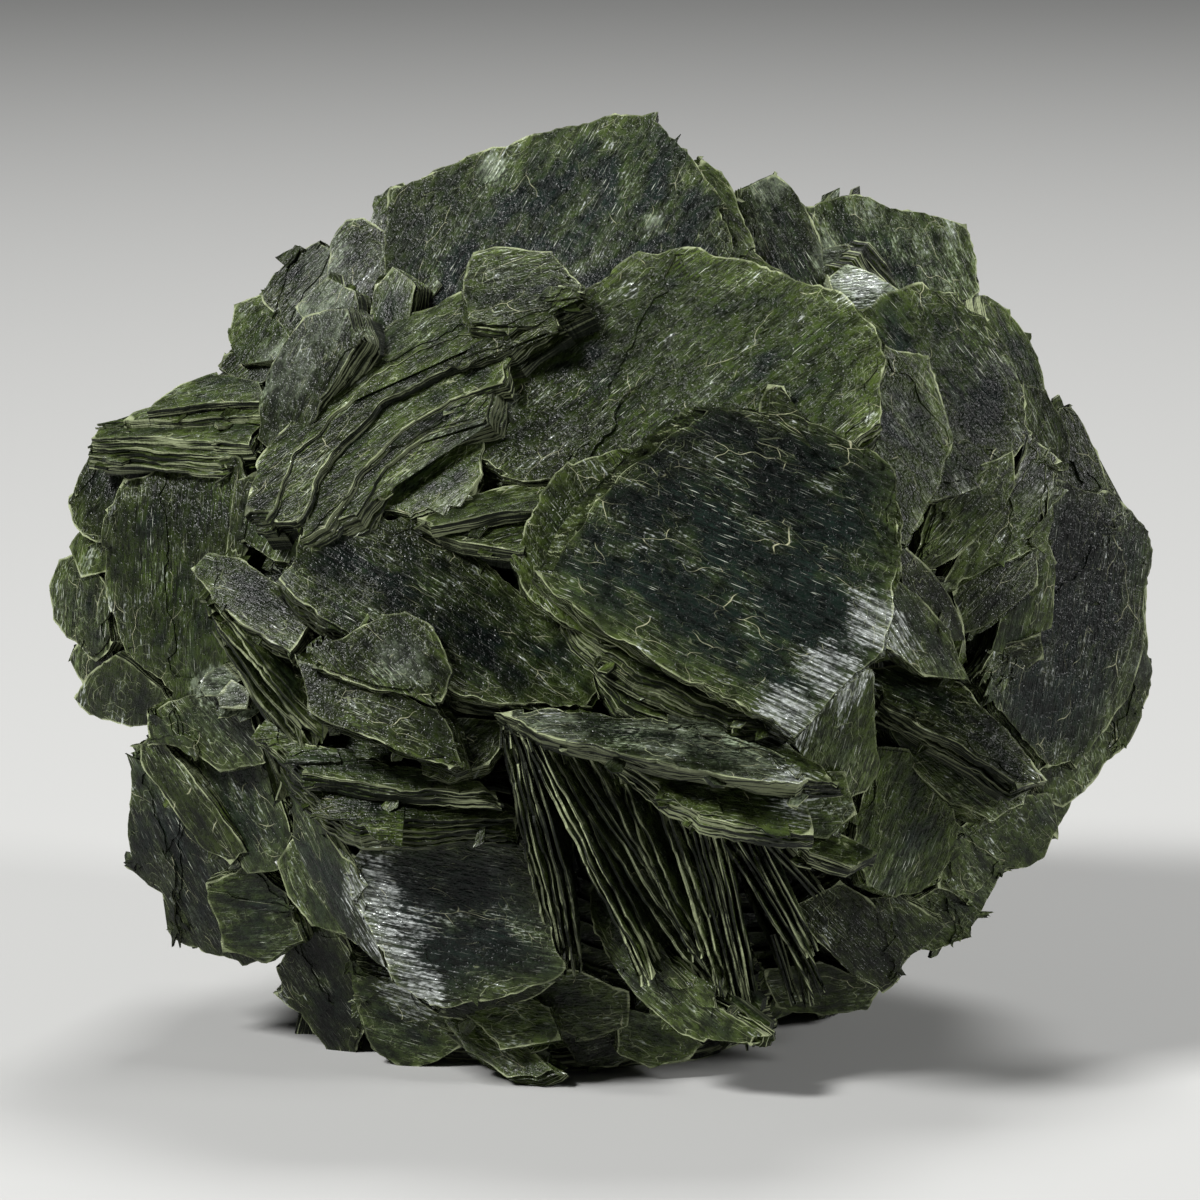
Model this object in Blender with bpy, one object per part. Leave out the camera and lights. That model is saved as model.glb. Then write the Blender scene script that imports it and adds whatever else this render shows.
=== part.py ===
"""A cabinet-size chlorite specimen: one rosette of intergrown plates, broken off flat where it grew.

Every plate that shows from the front is written as its outline in a front view, in millimetres to the
right and down, with how far it stands out and how it leans. The plates of the back follow a spiral.
"""

import math
import random

import bmesh
import bpy
from mathutils import Matrix, Vector

# The rosette, in metres: how far it reaches back from its middle, and the core that carries the plates.
ROSETTE_MIDDLE = Vector((0.0, 0.0, 0.0460))
BACK_REACH = 0.0440
CORE_MIDDLE = Vector((0.0, 0.0070, 0.0450))
CORE_REACH = Vector((0.0400, 0.0290, 0.0340))
CORE_SUBDIVISIONS = 2

# A plate's root goes so deep and narrows to a share of the plate. A thick plate has a ledge on its side.
PLATE_ROOT = 0.018
ROOT_SHARE = 0.62
LEDGE_FROM = 0.0050
LEDGE_DEPTH_SHARE = 0.4
LEDGE_SHARE = 0.955

# A blade's edge bulges by a share of its length, and its ends slant in by a share of its depth.
BLADE_BULGE = 0.03
BLADE_SLANT = 0.2

# The front view: its unit, its middle, how far away the eye is and how far it looks down.
VIEW_UNIT = 0.001
VIEW_MIDDLE = (60.0, 60.0)
VIEW_CENTRE = Vector((-0.0002, 0.0071, 0.0415))
EYE_DISTANCE = 0.600
EYE_ELEVATION = math.radians(10.0)

# The outer line of the rosette in the front view, clockwise from the top.
SILHOUETTE = [(64, 11), (73, 19), (87, 19), (98, 27), (105, 39), (111, 48), (115, 55), (115, 68), (107, 80),
              (103, 87), (95, 96), (82, 102), (69, 106), (52, 108), (33, 106), (24, 97), (12, 88), (12, 74),
              (7, 69), (5, 58), (8, 45), (20, 38), (25, 29), (34, 22), (41, 17), (54, 13)]

# The plates of the back and sides, on a spiral round the rosette: how many there would be all round,
# their sizes, how far out they sit at the rim and at the back, and how much they lean and vary.
SPIRAL_PLATES = 90
GOLDEN_ANGLE = math.pi * (3.0 - math.sqrt(5.0))
RIM_LIMIT = 0.11
UNDER_LIMIT = -0.93
BACK_PLATE_RADII = (0.010, 0.017)
BACK_PLATE_THICKNESS = (0.0026, 0.0050)
BACK_PLATE_SEATS = (0.77, 0.87)
BACK_PLATE_LEAN = 0.42
SIDEWAYS_LEANS = (-0.8, 0.8)
DOWNWARD_LEANS = (0.2, 1.0)
SWIRL_AXIS = Vector((0.3, 0.2, 1.0))
CORNERS = 6
CORNER_TURN = 0.2
CORNER_REACH = (0.85, 1.15)
SEED = 11

# The low plates round the sides and the back of the foot: how many, how far out they sit on the left,
# on the right and at the back, the angles of the first and the last, how high they sit, their sizes and
# how much they face up.
SKIRT_PLATES = 9
SKIRT_LEFT, SKIRT_RIGHT, SKIRT_BACK = 0.028, 0.022, 0.029
SKIRT_FIRST, SKIRT_LAST = math.radians(10.0), math.radians(172.0)
SKIRT_HEIGHTS = (0.007, 0.011)
SKIRT_RADII = (0.010, 0.013)
SKIRT_RISE = 0.25

# The broken foot that it stands on, as an outline in metres, and how thick the foot is.
FOOT_OUTLINE = [(-0.024, -0.005), (-0.017, -0.015), (-0.004, -0.020), (0.008, -0.017), (0.017, -0.005),
                (0.017, 0.012), (0.008, 0.022), (-0.009, 0.021), (-0.022, 0.012)]
FOOT_THICKNESS = 0.006
CUT_BLOCK = 0.200

# The collections: the finished rosette, the plates it is grown from and the block that cuts it off.
ROSETTE = "chlorite_rosette"
PLATES = "plates"
GROUND = "ground"

# Points closer than this are one point, and faces that turn less than this are one face.
WELD = 0.00001
FLAT_ANGLE = math.radians(0.5)

VIEW_RIGHT = Vector((1.0, 0.0, 0.0))
VIEW_UP = Vector((0.0, math.sin(EYE_ELEVATION), math.cos(EYE_ELEVATION)))
VIEW_FORWARD = Vector((0.0, math.cos(EYE_ELEVATION), -math.sin(EYE_ELEVATION)))
EYE = VIEW_CENTRE - VIEW_FORWARD * EYE_DISTANCE


def clear_scene():
    """Remove whatever the scene holds."""
    for obj in list(bpy.data.objects):
        bpy.data.objects.remove(obj, do_unlink=True)


def collection_named(name):
    """The scene's collection of this name, made when it is first asked for."""
    if name not in bpy.data.collections:
        bpy.context.scene.collection.children.link(bpy.data.collections.new(name))
    return bpy.data.collections[name]


def add_object(name, bm, collection):
    """Turn a bmesh into an object of the named collection, with its faces turned outward."""
    bmesh.ops.recalc_face_normals(bm, faces=bm.faces)
    mesh = bpy.data.meshes.new(name)
    bm.to_mesh(mesh)
    bm.free()
    obj = bpy.data.objects.new(name, mesh)
    collection_named(collection).objects.link(obj)
    if collection != ROSETTE:
        obj.hide_render = True
        obj.display_type = "WIRE"
    return obj


def view_ray(right, down):
    """The direction from the eye through a place in the front view."""
    on_view = (VIEW_CENTRE + VIEW_RIGHT * ((right - VIEW_MIDDLE[0]) * VIEW_UNIT)
               + VIEW_UP * ((VIEW_MIDDLE[1] - down) * VIEW_UNIT))
    return (on_view - EYE).normalized()


def view_point(right, down, out):
    """The point at a place in the front view that stands out so many millimetres from the middle."""
    ray = view_ray(right, down)
    return EYE + ray * ((EYE_DISTANCE - out * VIEW_UNIT) / ray.dot(VIEW_FORWARD))


def leaning(turn, tip):
    """The outward direction of a face turned to the right and tipped up, in degrees, from the eye."""
    turn, tip = math.radians(turn), math.radians(tip)
    return (VIEW_RIGHT * (math.sin(turn) * math.cos(tip)) + VIEW_UP * math.sin(tip)
            - VIEW_FORWARD * (math.cos(turn) * math.cos(tip)))


def grow(bm, face, offset, share):
    """Extrude a face along an offset while it shrinks to a share of its size."""
    region = bmesh.ops.extrude_face_region(bm, geom=[face, *face.edges, *face.verts])["geom"]
    verts = [part for part in region if isinstance(part, bmesh.types.BMVert)]
    middle = sum((vert.co for vert in verts), Vector()) / len(verts)
    for vert in verts:
        vert.co = middle + (vert.co - middle) * share + offset
    return next(part for part in region if isinstance(part, bmesh.types.BMFace))


def slab(name, outline, normal, thickness):
    """A crystal plate behind a flat outline, with a root that narrows towards the rosette's middle."""
    bm = bmesh.new()
    face = bm.faces.new([bm.verts.new(point) for point in outline])
    middle = sum(outline, Vector()) / len(outline)
    if thickness >= LEDGE_FROM:
        ledge = thickness * LEDGE_DEPTH_SHARE
        face = grow(bm, face, -normal * ledge, 1.0)
        face = grow(bm, face, Vector(), LEDGE_SHARE)
        face = grow(bm, face, -normal * (thickness - ledge), 1.0)
    else:
        face = grow(bm, face, -normal * thickness, 1.0)
    inward = (ROSETTE_MIDDLE - middle).normalized()
    grow(bm, face, inward * PLATE_ROOT, ROOT_SHARE)
    return add_object(name, bm, PLATES)


def face_plate(name, out, turn, tip, thickness, outline):
    """A plate whose broad face shows from the front, inside an outline in front view millimetres."""
    right = sum(place[0] for place in outline) / len(outline)
    down = sum(place[1] for place in outline) / len(outline)
    anchor = view_point(right, down, out)
    normal = leaning(turn, tip)
    corners = []
    for place in outline:
        ray = view_ray(*place)
        corners.append(EYE + ray * ((anchor - EYE).dot(normal) / ray.dot(normal)))
    return slab(name, corners, normal, thickness * VIEW_UNIT)


def edge_plate(name, start, end, start_out, end_out, roll, thickness, depth):
    """A thin blade seen on its edge, which runs between two places and goes back into the rosette."""
    first = view_point(*start, start_out)
    last = view_point(*end, end_out)
    along = (last - first).normalized()
    inward = VIEW_FORWARD - along * VIEW_FORWARD.dot(along)
    inward = Matrix.Rotation(math.radians(roll), 3, along) @ inward.normalized()
    normal = along.cross(inward)
    depth = depth * VIEW_UNIT
    half = thickness * VIEW_UNIT / 2
    middle = (first + last) / 2 - inward * (last - first).length * BLADE_BULGE
    outline = [first, middle, last, last + (inward - along * BLADE_SLANT) * depth,
               first + (inward + along * BLADE_SLANT) * depth]
    bm = bmesh.new()
    face = bm.faces.new([bm.verts.new(point + normal * half) for point in outline])
    grow(bm, face, -normal * half * 2, 1.0)
    return add_object(name, bm, PLATES)


def crown_plates():
    """The broad shield at the top, the ledges under it and the pale crest behind its right side."""
    face_plate("crown_shield", 21, -4, 27, 5.0, [(39, 18.5), (47.8, 15.2), (54.5, 13), (60.4, 11.4),
               (65.8, 11.1), (69.3, 14.3), (73.5, 19.5), (75, 24), (77.5, 27.5), (66, 34), (50, 37),
               (37.5, 36), (38.3, 26)])
    face_plate("crown_wing", 17, -16, 24, 4.0, [(36.0, 25), (37.4, 19.6), (39.6, 17.5), (46, 15), (50, 20),
               (46, 30), (38, 36), (34.6, 32)])
    face_plate("crown_tail", 19, 26, 24, 4.0, [(69.8, 14.8), (71.8, 16.6), (73.9, 20.4), (75.4, 24.5),
               (79.6, 27.6), (77, 30), (69, 29), (66, 20)])
    face_plate("crown_rib", 25, -30, 15, 3.0, [(36.2, 34), (37.2, 28.4), (38.8, 26.2), (41.5, 28), (40, 35)])
    face_plate("crown_step", 31, -4, 32, 3.5, [(46.2, 29.2), (47.3, 25.2), (50, 24.7), (55.2, 24.9),
               (58.3, 28.3), (58.6, 30), (54, 33), (47, 33)])
    face_plate("crest", 11, 12, 18, 5.0, [(80.8, 20.5), (82.5, 18.8), (86, 18.7), (91.5, 20.4), (96.4, 21.8),
               (97.6, 25), (98.4, 29), (95, 32.5), (88, 33), (82, 28)])
    face_plate("crest_left", 14, 15, 20, 5.0, [(73.4, 18.5), (77.3, 16.5), (79, 18.7), (80.6, 20.5),
               (82.1, 24.5), (83, 29), (78, 31), (73, 26)])
    face_plate("crest_chip", 17.5, 4, 30, 2.5, [(82.2, 27.5), (84.3, 26.2), (87.5, 27.3), (90.5, 29.2),
               (89.5, 31), (85, 31.4), (83, 29.5)])
    face_plate("crest_nub", 14, 0, 20, 3.0, [(81.6, 24.9), (84.8, 24.2), (86, 27), (82.2, 28.5)])


def brow_plates():
    """The two long green plates that lean over the big front plate."""
    face_plate("brow", 33.0, -8, 30, 4.5, [(46.6, 43.5), (48.6, 41), (50.2, 35.6), (56, 30.8), (64, 25.1),
               (70, 24.8), (76, 26.6), (84, 29.2), (88.2, 33.8), (88, 42), (80, 48), (62, 48), (50, 48.6),
               (47.3, 46.6)])
    face_plate("brow_right", 32, 22, 14, 3.5, [(80, 32), (88, 34), (93, 35.4), (93.8, 38.5), (95.3, 44),
               (93.5, 50), (90.8, 54.4), (87, 55), (80, 50), (78, 40)])


def front_plates():
    """The big front plate, the tablet under it and the narrow plates that cross below."""
    face_plate("heart", 45.0, 4, 12, 5.0, [(62.6, 44.2), (66.6, 41), (69, 39), (74, 39.4), (80, 40.4),
               (86.5, 43.8), (89.6, 46.8), (90.2, 52), (89.6, 60), (88.8, 65.3), (86.3, 67.2), (79.6, 73.8),
               (70, 69), (57, 61.2), (53.2, 57.2), (55.3, 52), (59, 47.3)])
    face_plate("heart_under", 39.5, 3, 13, 3.0, [(50.8, 55.6), (54, 49.5), (56.6, 46), (62.6, 44.4),
               (76, 41), (88, 45), (90.8, 52), (89, 63), (70, 71), (56, 62), (52, 58.8)])
    face_plate("heart_chip", 37.5, 0, 10, 2.0, [(76, 40.4), (76.8, 38.4), (78.4, 38.6), (79.3, 40.4),
               (78, 43), (76, 43)])
    face_plate("sill", 43.0, 8, 42, 2.2, [(55.5, 59.8), (60, 60.6), (66, 63.8), (72, 66), (75.5, 69),
               (77, 72.2), (73, 72.2), (64, 68.5), (60, 66), (57, 63)])
    face_plate("sill_under", 42.5, 10, 42, 2.2, [(58, 64), (64, 66.5), (70, 69), (77, 72), (83, 76),
               (84.6, 77.8), (80, 77.6), (71, 74), (62, 70)])
    face_plate("tongue", 46.0, 0, 50, 2.4, [(49.5, 70.4), (52, 69.8), (56, 70.1), (62, 71.1), (70, 71.9),
               (79, 74.4), (81.2, 76.6), (80, 77.7), (72, 77.2), (65, 76), (60, 74.6), (54, 73)])
    face_plate("tongue_under", 44.5, 2, 38, 2.6, [(60, 74.2), (68, 75.5), (80, 77.6), (81.3, 83.2),
               (76, 82.8), (70, 81.6), (67, 80), (63.5, 77)])
    face_plate("cheek", 39.5, 8, 26, 4.0, [(28, 57.5), (30, 52.8), (34.4, 50.4), (40, 51.6), (47.2, 53.8),
               (53, 59.4), (57.4, 62.4), (60.2, 65.5), (61.3, 69.2), (60, 71), (53, 71), (46, 69.4),
               (40, 66), (33.4, 62.8), (30, 60)])
    face_plate("jaw_upper", 42.6, -5, 16, 3.0, [(30, 64.5), (34, 62.6), (37.5, 61), (40, 60.8),
               (43.4, 62.6), (45.5, 67), (44, 70), (37, 69), (31, 67)])
    face_plate("jaw", 43.0, -8, 12, 3.5, [(29.2, 65.2), (34, 66.5), (40, 69), (44, 70.2), (45.6, 72.4),
               (47, 76.4), (45, 77.2), (40, 75.2), (33, 72.6), (30.5, 71), (30, 68)])
    face_plate("jaw_tab", 40.0, 5, 14, 3.0, [(42, 71), (49.8, 71.4), (50.6, 74.4), (49, 76.6),
               (45, 77.7), (42.5, 76.6)])
    face_plate("shelf", 36.0, -5, 42, 2.6, [(27.5, 75.2), (32, 76), (43, 77.6), (52, 79.8), (51.9, 82.1),
               (44, 83), (36, 83.7), (34, 82.9), (30, 79.4)])
    face_plate("shelf_upper", 36.5, -6, 42, 2.0, [(25, 72.6), (30, 74), (38, 76), (48, 77.8), (50, 79.4),
               (40, 79.2), (30, 77.6)])
    face_plate("shelf_lower", 31.0, -5, 30, 3.0, [(39, 83), (46, 82.4), (52, 82), (52, 85.1), (44, 85.9),
               (41, 85.2)])
    face_plate("gap_strip_1", 38.0, -14, 50, 1.6, [(41.5, 51.6), (47, 49.4), (54.4, 47.7), (56, 50.4),
               (48, 51.6), (43, 52.6)])
    face_plate("gap_strip_2", 38.2, -14, 50, 1.6, [(43, 53), (50, 51.8), (54, 51.4), (52.4, 55),
               (46, 54.2)])


def roof_plates():
    """The roof of long thin plates that climbs from the left of the cheek towards the crown."""
    face_plate("roof_1", 31.0, -28, 38, 2.6, [(24.6, 52), (26, 46), (29, 42), (31.5, 38.5), (34.5, 35.2),
               (40, 32), (47, 28.9), (56.5, 28.5), (58.3, 29.4), (50, 33.6), (42, 35.6), (36, 39.6),
               (30, 46), (27, 52)])
    face_plate("roof_2", 32.5, -28, 38, 2.4, [(27, 52), (29, 44), (34, 38), (40, 34.5), (50, 32),
               (56, 31), (51, 35), (44, 37.4), (38, 40.6), (33, 45.5), (30, 52)])
    face_plate("roof_3", 33.8, -28, 38, 2.4, [(30, 54), (31.5, 46), (37, 40), (44, 36.4), (51, 34),
               (50.8, 38), (45, 40.2), (40, 43), (36, 47.4), (33, 52.6)])
    face_plate("roof_4", 34.8, -28, 38, 2.4, [(32.5, 53), (34.6, 46.4), (40, 41.6), (46, 39), (50, 38),
               (49.2, 42), (43, 43.8), (39, 47), (36, 51.6)])
    face_plate("roof_5", 34.8, -22, 30, 3.0, [(35, 51), (38, 46.4), (40, 43.6), (48, 41.6), (48.4, 47),
               (46, 50.6), (41, 52)])
    face_plate("roof_foot", 30.5, -28, 14, 3.0, [(23.9, 54.8), (25.3, 49), (27.5, 46.2), (30.5, 45),
               (31.4, 50), (29.5, 57.4), (27, 57)])
    face_plate("post", 28.0, -30, 5, 2.0, [(22.4, 55.4), (23.2, 48), (26.5, 46.6), (26, 52), (24, 56)])
    face_plate("milky_blade", 29.0, -34, 12, 3.0, [(25.3, 44), (25.5, 40), (27.5, 34.6), (30, 31.5),
               (34.5, 30.6), (36, 34), (33, 38.5), (30, 43), (26.6, 46)])


def left_plates():
    """The knobs, the stack of thin sheets and the broad plates of the left flank."""
    face_plate("knob_1", 14.5, -38, 24, 5.0, [(22.7, 33.4), (23.3, 30.4), (25.5, 29.5), (30, 27.6), (32, 31),
               (29, 36), (24, 36.8)])
    face_plate("knob_2", 15.0, -34, 30, 5.0, [(25.8, 29.3), (27.2, 27.2), (29.8, 24.6), (32, 23.5),
               (34.2, 25), (34, 31), (29, 34)])
    face_plate("knob_3", 19.0, -26, 24, 5.0, [(33.2, 24.2), (34.5, 21.9), (36.3, 21.7), (38.5, 23.5),
               (40.5, 27), (39, 32), (35, 34.5), (32.6, 30)])
    face_plate("knob_4", 14.0, -36, 30, 4.0, [(21.6, 36.6), (22, 35.2), (24.5, 34.6), (28, 37),
               (25, 39)])
    face_plate("knob_5", 24.0, -30, 18, 3.0, [(29, 31), (32.5, 27.6), (35.5, 29), (36, 33), (31, 34)])
    face_plate("sheet_1", 20.0, -18, 56, 1.6, [(15.4, 40), (18, 38.3), (21.6, 37), (26.6, 37.6),
               (27.4, 39.6), (20, 40.4), (14.6, 41)])
    face_plate("sheet_2", 20.6, -18, 56, 1.6, [(13.4, 41.1), (18, 39.6), (26.6, 39.8), (26.6, 41.8),
               (18, 42.4), (12, 42.3)])
    face_plate("sheet_3", 20.6, -20, 56, 1.6, [(9.6, 42.5), (14, 41.2), (21, 41.2), (26.4, 42),
               (25, 44.2), (15, 43.8), (9, 43.7)])
    face_plate("sheet_4", 21.0, -20, 56, 1.6, [(8.8, 43.7), (13, 42.8), (22, 43.2), (26, 44.8),
               (22, 46), (12, 45.4), (8.5, 45.2)])
    face_plate("ear", 22.5, -32, 2, 5.0, [(8.9, 55), (9.7, 51), (11.8, 48), (15, 47.4), (18, 45.4),
               (23.5, 45.8), (24.4, 50), (23.4, 58), (24, 65), (24, 70), (21, 72.3), (18, 71.9), (15, 69.4),
               (11.4, 66.6), (9.5, 62)])
    face_plate("ear_top", 16.5, -36, 15, 4.5, [(7.2, 51.8), (6.7, 49.6), (8.2, 46), (9, 44.2), (16, 43),
               (23, 45), (21, 49), (12, 51), (10, 54), (8.2, 53.4)])
    face_plate("lobe", 12.0, -46, 0, 4.5, [(4.9, 58.5), (5.8, 56), (8, 55.2), (11, 58), (11.5, 64),
               (9.6, 66.4), (7.2, 64.2), (5.2, 62)])
    face_plate("lobe_top", 13.5, -42, 5, 3.5, [(6.9, 54.6), (8, 53.1), (10.5, 53), (11.5, 57), (8, 57.6)])
    face_plate("lobe_middle", 12.5, -42, -5, 3.5, [(6.8, 66), (8, 64.2), (11, 64.5), (12, 69), (8.2, 68.6)])
    face_plate("lobe_low", 15.5, -36, -10, 4.5, [(7.1, 70), (8.6, 67.6), (11.5, 65.6), (16, 69),
               (18, 72.4), (13, 72.9), (8.8, 71.8)])
    face_plate("snout", 33.0, -16, 34, 3.0, [(19, 56.6), (20.5, 55), (24, 55.4), (28.5, 58.8), (31, 62),
               (29, 65), (24.5, 62.6), (21, 60)])
    face_plate("milk_1", 27.5, -20, -5, 2.5, [(19.8, 69.2), (20.2, 67.5), (22.4, 66.4), (24, 68),
               (22.4, 69.8), (20.5, 69.8)])
    face_plate("milk_2", 28.5, -15, 10, 2.5, [(21.4, 69.6), (23, 67.8), (25, 69), (24.6, 70.8), (22, 70.8)])


def low_left_plates():
    """The silvery breast plate, the gills beside it and the plates of the lower left flank."""
    face_plate("breast", 32.0, -8, -8, 3.5, [(34.4, 85.4), (36.5, 83.4), (44, 83), (52.2, 83.4), (54, 89),
               (55.9, 94.5), (56.5, 97), (54.5, 98.6), (47, 100.3), (43, 101), (39.6, 98.7), (38.4, 95.2),
               (36, 92), (34.1, 88)])
    face_plate("breast_under", 28.0, -6, -10, 3.0, [(38, 92), (50, 90), (56.4, 95), (56.4, 98),
               (52.4, 100), (48, 102.2), (43.6, 101.8)])
    face_plate("gill_1", 28.5, -42, -14, 2.6, [(27.7, 78), (30, 78.6), (33.6, 84), (36, 87), (36.6, 92),
               (38.4, 98.6), (34, 94.6), (30, 89), (28, 84)])
    face_plate("gill_2", 25.5, -34, -8, 3.0, [(27.6, 86.2), (29.4, 83.8), (32, 88), (34.8, 94), (31.4, 93),
               (28.8, 89.6)])
    face_plate("olive_bar", 20.5, -26, -10, 3.5, [(13.8, 74.6), (15.5, 73.4), (18, 76), (21.4, 80.4),
               (24.4, 85.4), (23, 86.9), (20, 85.2), (16.5, 80.2), (14, 76.6)])
    face_plate("flank_low", 14.0, -32, -18, 5.0, [(12, 74.6), (15.5, 74), (20, 79), (25, 86), (28, 90),
               (28, 95.4), (24, 96.9), (20, 95.9), (16.5, 94.1), (14.9, 89.6), (12, 87.4), (11.2, 83)])
    face_plate("flank_dark", 22.5, -30, -6, 3.0, [(19, 74), (24, 70.5), (27, 76), (29.6, 83), (28.6, 86.6),
               (24.5, 87), (20.6, 81)])
    face_plate("flank_knob", 18.0, -22, -24, 4.0, [(20.4, 88.4), (25, 86.4), (29, 89), (31, 94.4),
               (27, 96.6), (22, 95.4)])
    face_plate("flank_ledge", 24.0, -26, -8, 4.0, [(14, 71), (20, 68.6), (26, 70), (27, 76), (22, 77.4),
               (19, 75), (14.6, 74.4)])
    face_plate("foot_left", 14.0, -25, -24, 5.0, [(26.8, 96.6), (29, 90.6), (34, 93), (36.4, 98),
               (36.6, 103), (35, 105.8), (32.4, 105.9), (29.6, 101.6), (27.2, 99.4)])
    face_plate("foot_middle", 19.0, -10, -18, 4.0, [(34.5, 96), (39, 97), (44, 101), (46.4, 104.4),
               (44, 106.2), (40.4, 107.2), (37, 105), (35, 101)])


def base_plates():
    """The small plates along the lower edge, in front of the flat base."""
    face_plate("toe_1", 25.0, -18, 14, 2.4, [(43, 100.4), (48, 101), (53, 105), (56, 107.4), (54, 108.4),
               (51, 108.1), (47, 105.4)])
    face_plate("toe_2", 27.5, -6, 6, 2.4, [(45.6, 101.4), (51, 99), (55, 100.6), (56, 104), (50, 105)])
    face_plate("toe_3", 25.5, 0, -6, 2.6, [(52.4, 99.4), (57, 97), (62.8, 99.4), (62.6, 102.6),
               (58.4, 104), (55, 102.6)])
    face_plate("toe_4", 22.0, 6, -14, 3.0, [(55.6, 103), (61, 102), (65, 104.4), (62.4, 107), (58, 107)])
    face_plate("toe_5", 24.0, 10, -8, 3.0, [(62, 100.4), (67, 101.6), (70.6, 104.3), (69, 106),
               (65, 107), (61.6, 105.4)])
    face_plate("toe_6", 21.0, -6, -12, 3.0, [(44.6, 103.6), (50, 102), (52, 106), (48, 106.2)])
    face_plate("heel_1", 21.0, 4, -20, 3.5, [(76, 97.4), (82, 96.4), (88.4, 98.6), (86.6, 101),
               (82, 101.9), (77.4, 101)])
    face_plate("heel_2", 27.0, 8, -10, 3.5, [(79, 91), (84, 88), (88, 91), (90.8, 95.4), (90, 98),
               (88.2, 99.3), (85, 97.8), (81.4, 94.6)])


def right_plates():
    """The shoulder, the scales, the broad wing and the hem of the right flank."""
    face_plate("shoulder", 24.0, 26, 22, 4.5, [(84.6, 32), (88.6, 29.4), (92.5, 28.2), (96, 28.7),
               (99.5, 31), (102, 34.5), (103.6, 38), (104, 43), (101, 47), (96, 49), (91, 51), (87, 44)])
    face_plate("shoulder_edge", 15.5, 46, 16, 4.0, [(98.4, 29.4), (101.3, 30.8), (104, 35.6), (105.4, 40),
               (105.4, 44), (102, 43), (99.4, 36)])
    face_plate("shoulder_low", 18.5, 48, 8, 3.5, [(102.4, 38), (104.6, 38.6), (107.2, 43), (107, 47),
               (104.6, 47), (102.2, 43)])
    face_plate("scale_1", 27.5, 18, 2, 2.6, [(91.6, 55.6), (93.6, 49.6), (97, 46), (101.4, 44.4),
               (102.2, 48), (99.6, 52), (96, 55.4), (93, 57)])
    face_plate("scale_2", 25.5, 24, 4, 2.6, [(94.6, 58.6), (98, 52), (102, 47.4), (103.4, 43.4),
               (106.6, 46), (106.2, 52), (104, 55.4), (100, 57), (96.5, 59)])
    face_plate("scale_3", 24.5, 22, 0, 2.6, [(96.4, 63.9), (95.4, 59), (99, 56), (104.6, 52.6),
               (104.6, 58.5), (101, 61.6), (98.5, 63.2)])
    face_plate("slat", 20.5, 30, -4, 3.0, [(99, 66), (101, 58), (105, 53.8), (106.2, 56), (105.6, 63),
               (103.6, 66)])
    face_plate("lip", 21.0, 14, -10, 2.6, [(97.8, 67.6), (99, 65), (104.2, 63.4), (104.6, 66), (102.4, 67.6),
               (100, 68.6)])
    face_plate("wing", 17.5, 30, 0, 4.5, [(102.4, 53), (105.6, 48), (111, 49.2), (115.1, 53), (115.3, 55),
               (114.2, 65), (112.6, 70.2), (108, 77), (104, 78.4), (99, 72.6), (96.6, 68.4), (101, 62)])
    face_plate("wing_back", 12.5, 38, -6, 4.0, [(111, 52), (115, 57), (114.8, 65.4), (115.6, 66.9),
               (115.2, 69.6), (112.8, 74), (108.6, 79), (106.6, 80.6), (103.4, 79), (106, 68)])
    face_plate("wing_top", 15.0, 38, 14, 3.5, [(104.8, 40.6), (107, 39.7), (109.5, 44.5), (111.3, 49.4),
               (113.6, 51.6), (108, 52), (104.6, 48)])
    face_plate("keel", 37.0, 18, -12, 2.6, [(78.6, 74), (84, 67), (87.4, 67), (88, 76.4), (86.8, 79.2),
               (85, 80.1), (82, 79)])
    face_plate("crumb", 38.0, 8, 2, 3.5, [(79.6, 77), (84.6, 77.2), (85.8, 81.4), (83, 84), (80.2, 83.4)])
    face_plate("splint", 37.0, 14, 42, 1.8, [(78.4, 82.6), (84, 83.4), (87.8, 85.2), (85, 86.6), (81, 85.4)])
    face_plate("vane_1", 33.0, 20, -6, 2.4, [(88.4, 56.8), (91.6, 59.4), (95.2, 63), (97.4, 68.4),
               (93, 68), (88.6, 65)])
    face_plate("vane_2", 30.5, 28, -4, 2.4, [(89.6, 53.6), (93.6, 57.6), (96.2, 62), (97, 66.4),
               (93.6, 64), (90, 59)])
    face_plate("ramp_top", 32.0, 16, 30, 2.6, [(86.2, 66.6), (90, 66.2), (96, 68.3), (99, 71.4),
               (102.6, 75.4), (105, 77.6), (102, 78.6), (96, 75), (88, 70.4)])
    face_plate("ramp", 29.0, 14, 4, 3.0, [(87.4, 69.6), (94, 71.6), (100, 75.8), (103, 78), (102.4, 80.4),
               (99, 82.2), (95, 81), (90, 76)])
    face_plate("hip", 29.5, 16, -6, 3.6, [(87.6, 74.6), (91, 74.9), (93.6, 77), (96, 80.6), (97.2, 83),
               (96.2, 86), (95.2, 88.7), (92.8, 89.8), (90, 90.4), (86.6, 89), (85.4, 84), (86, 78)])
    face_plate("hem_1", 18.0, 28, -10, 4.5, [(95, 84), (100, 80), (105.6, 79.4), (106.5, 83.8),
               (104.8, 86), (102.8, 87.3), (100, 87.4), (97.4, 91), (94, 89)])
    face_plate("hem_2", 18.5, 24, -20, 4.0, [(94, 88.6), (98.6, 86), (101.4, 87), (99, 91.4), (96.6, 94.6),
               (94, 95.8), (91, 95.1), (90, 91)])
    face_plate("hem_3", 23.0, 16, -18, 3.5, [(85.6, 90), (90, 89.4), (95, 92.6), (93, 94.8), (91.4, 95.4),
               (89.6, 97.4), (88, 98.6), (85, 96)])
    face_plate("hem_top", 13.5, 38, -12, 4.0, [(103, 78), (106, 76.6), (109, 78.6), (107.6, 80.4),
               (106.2, 83), (103, 84)])


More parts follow.
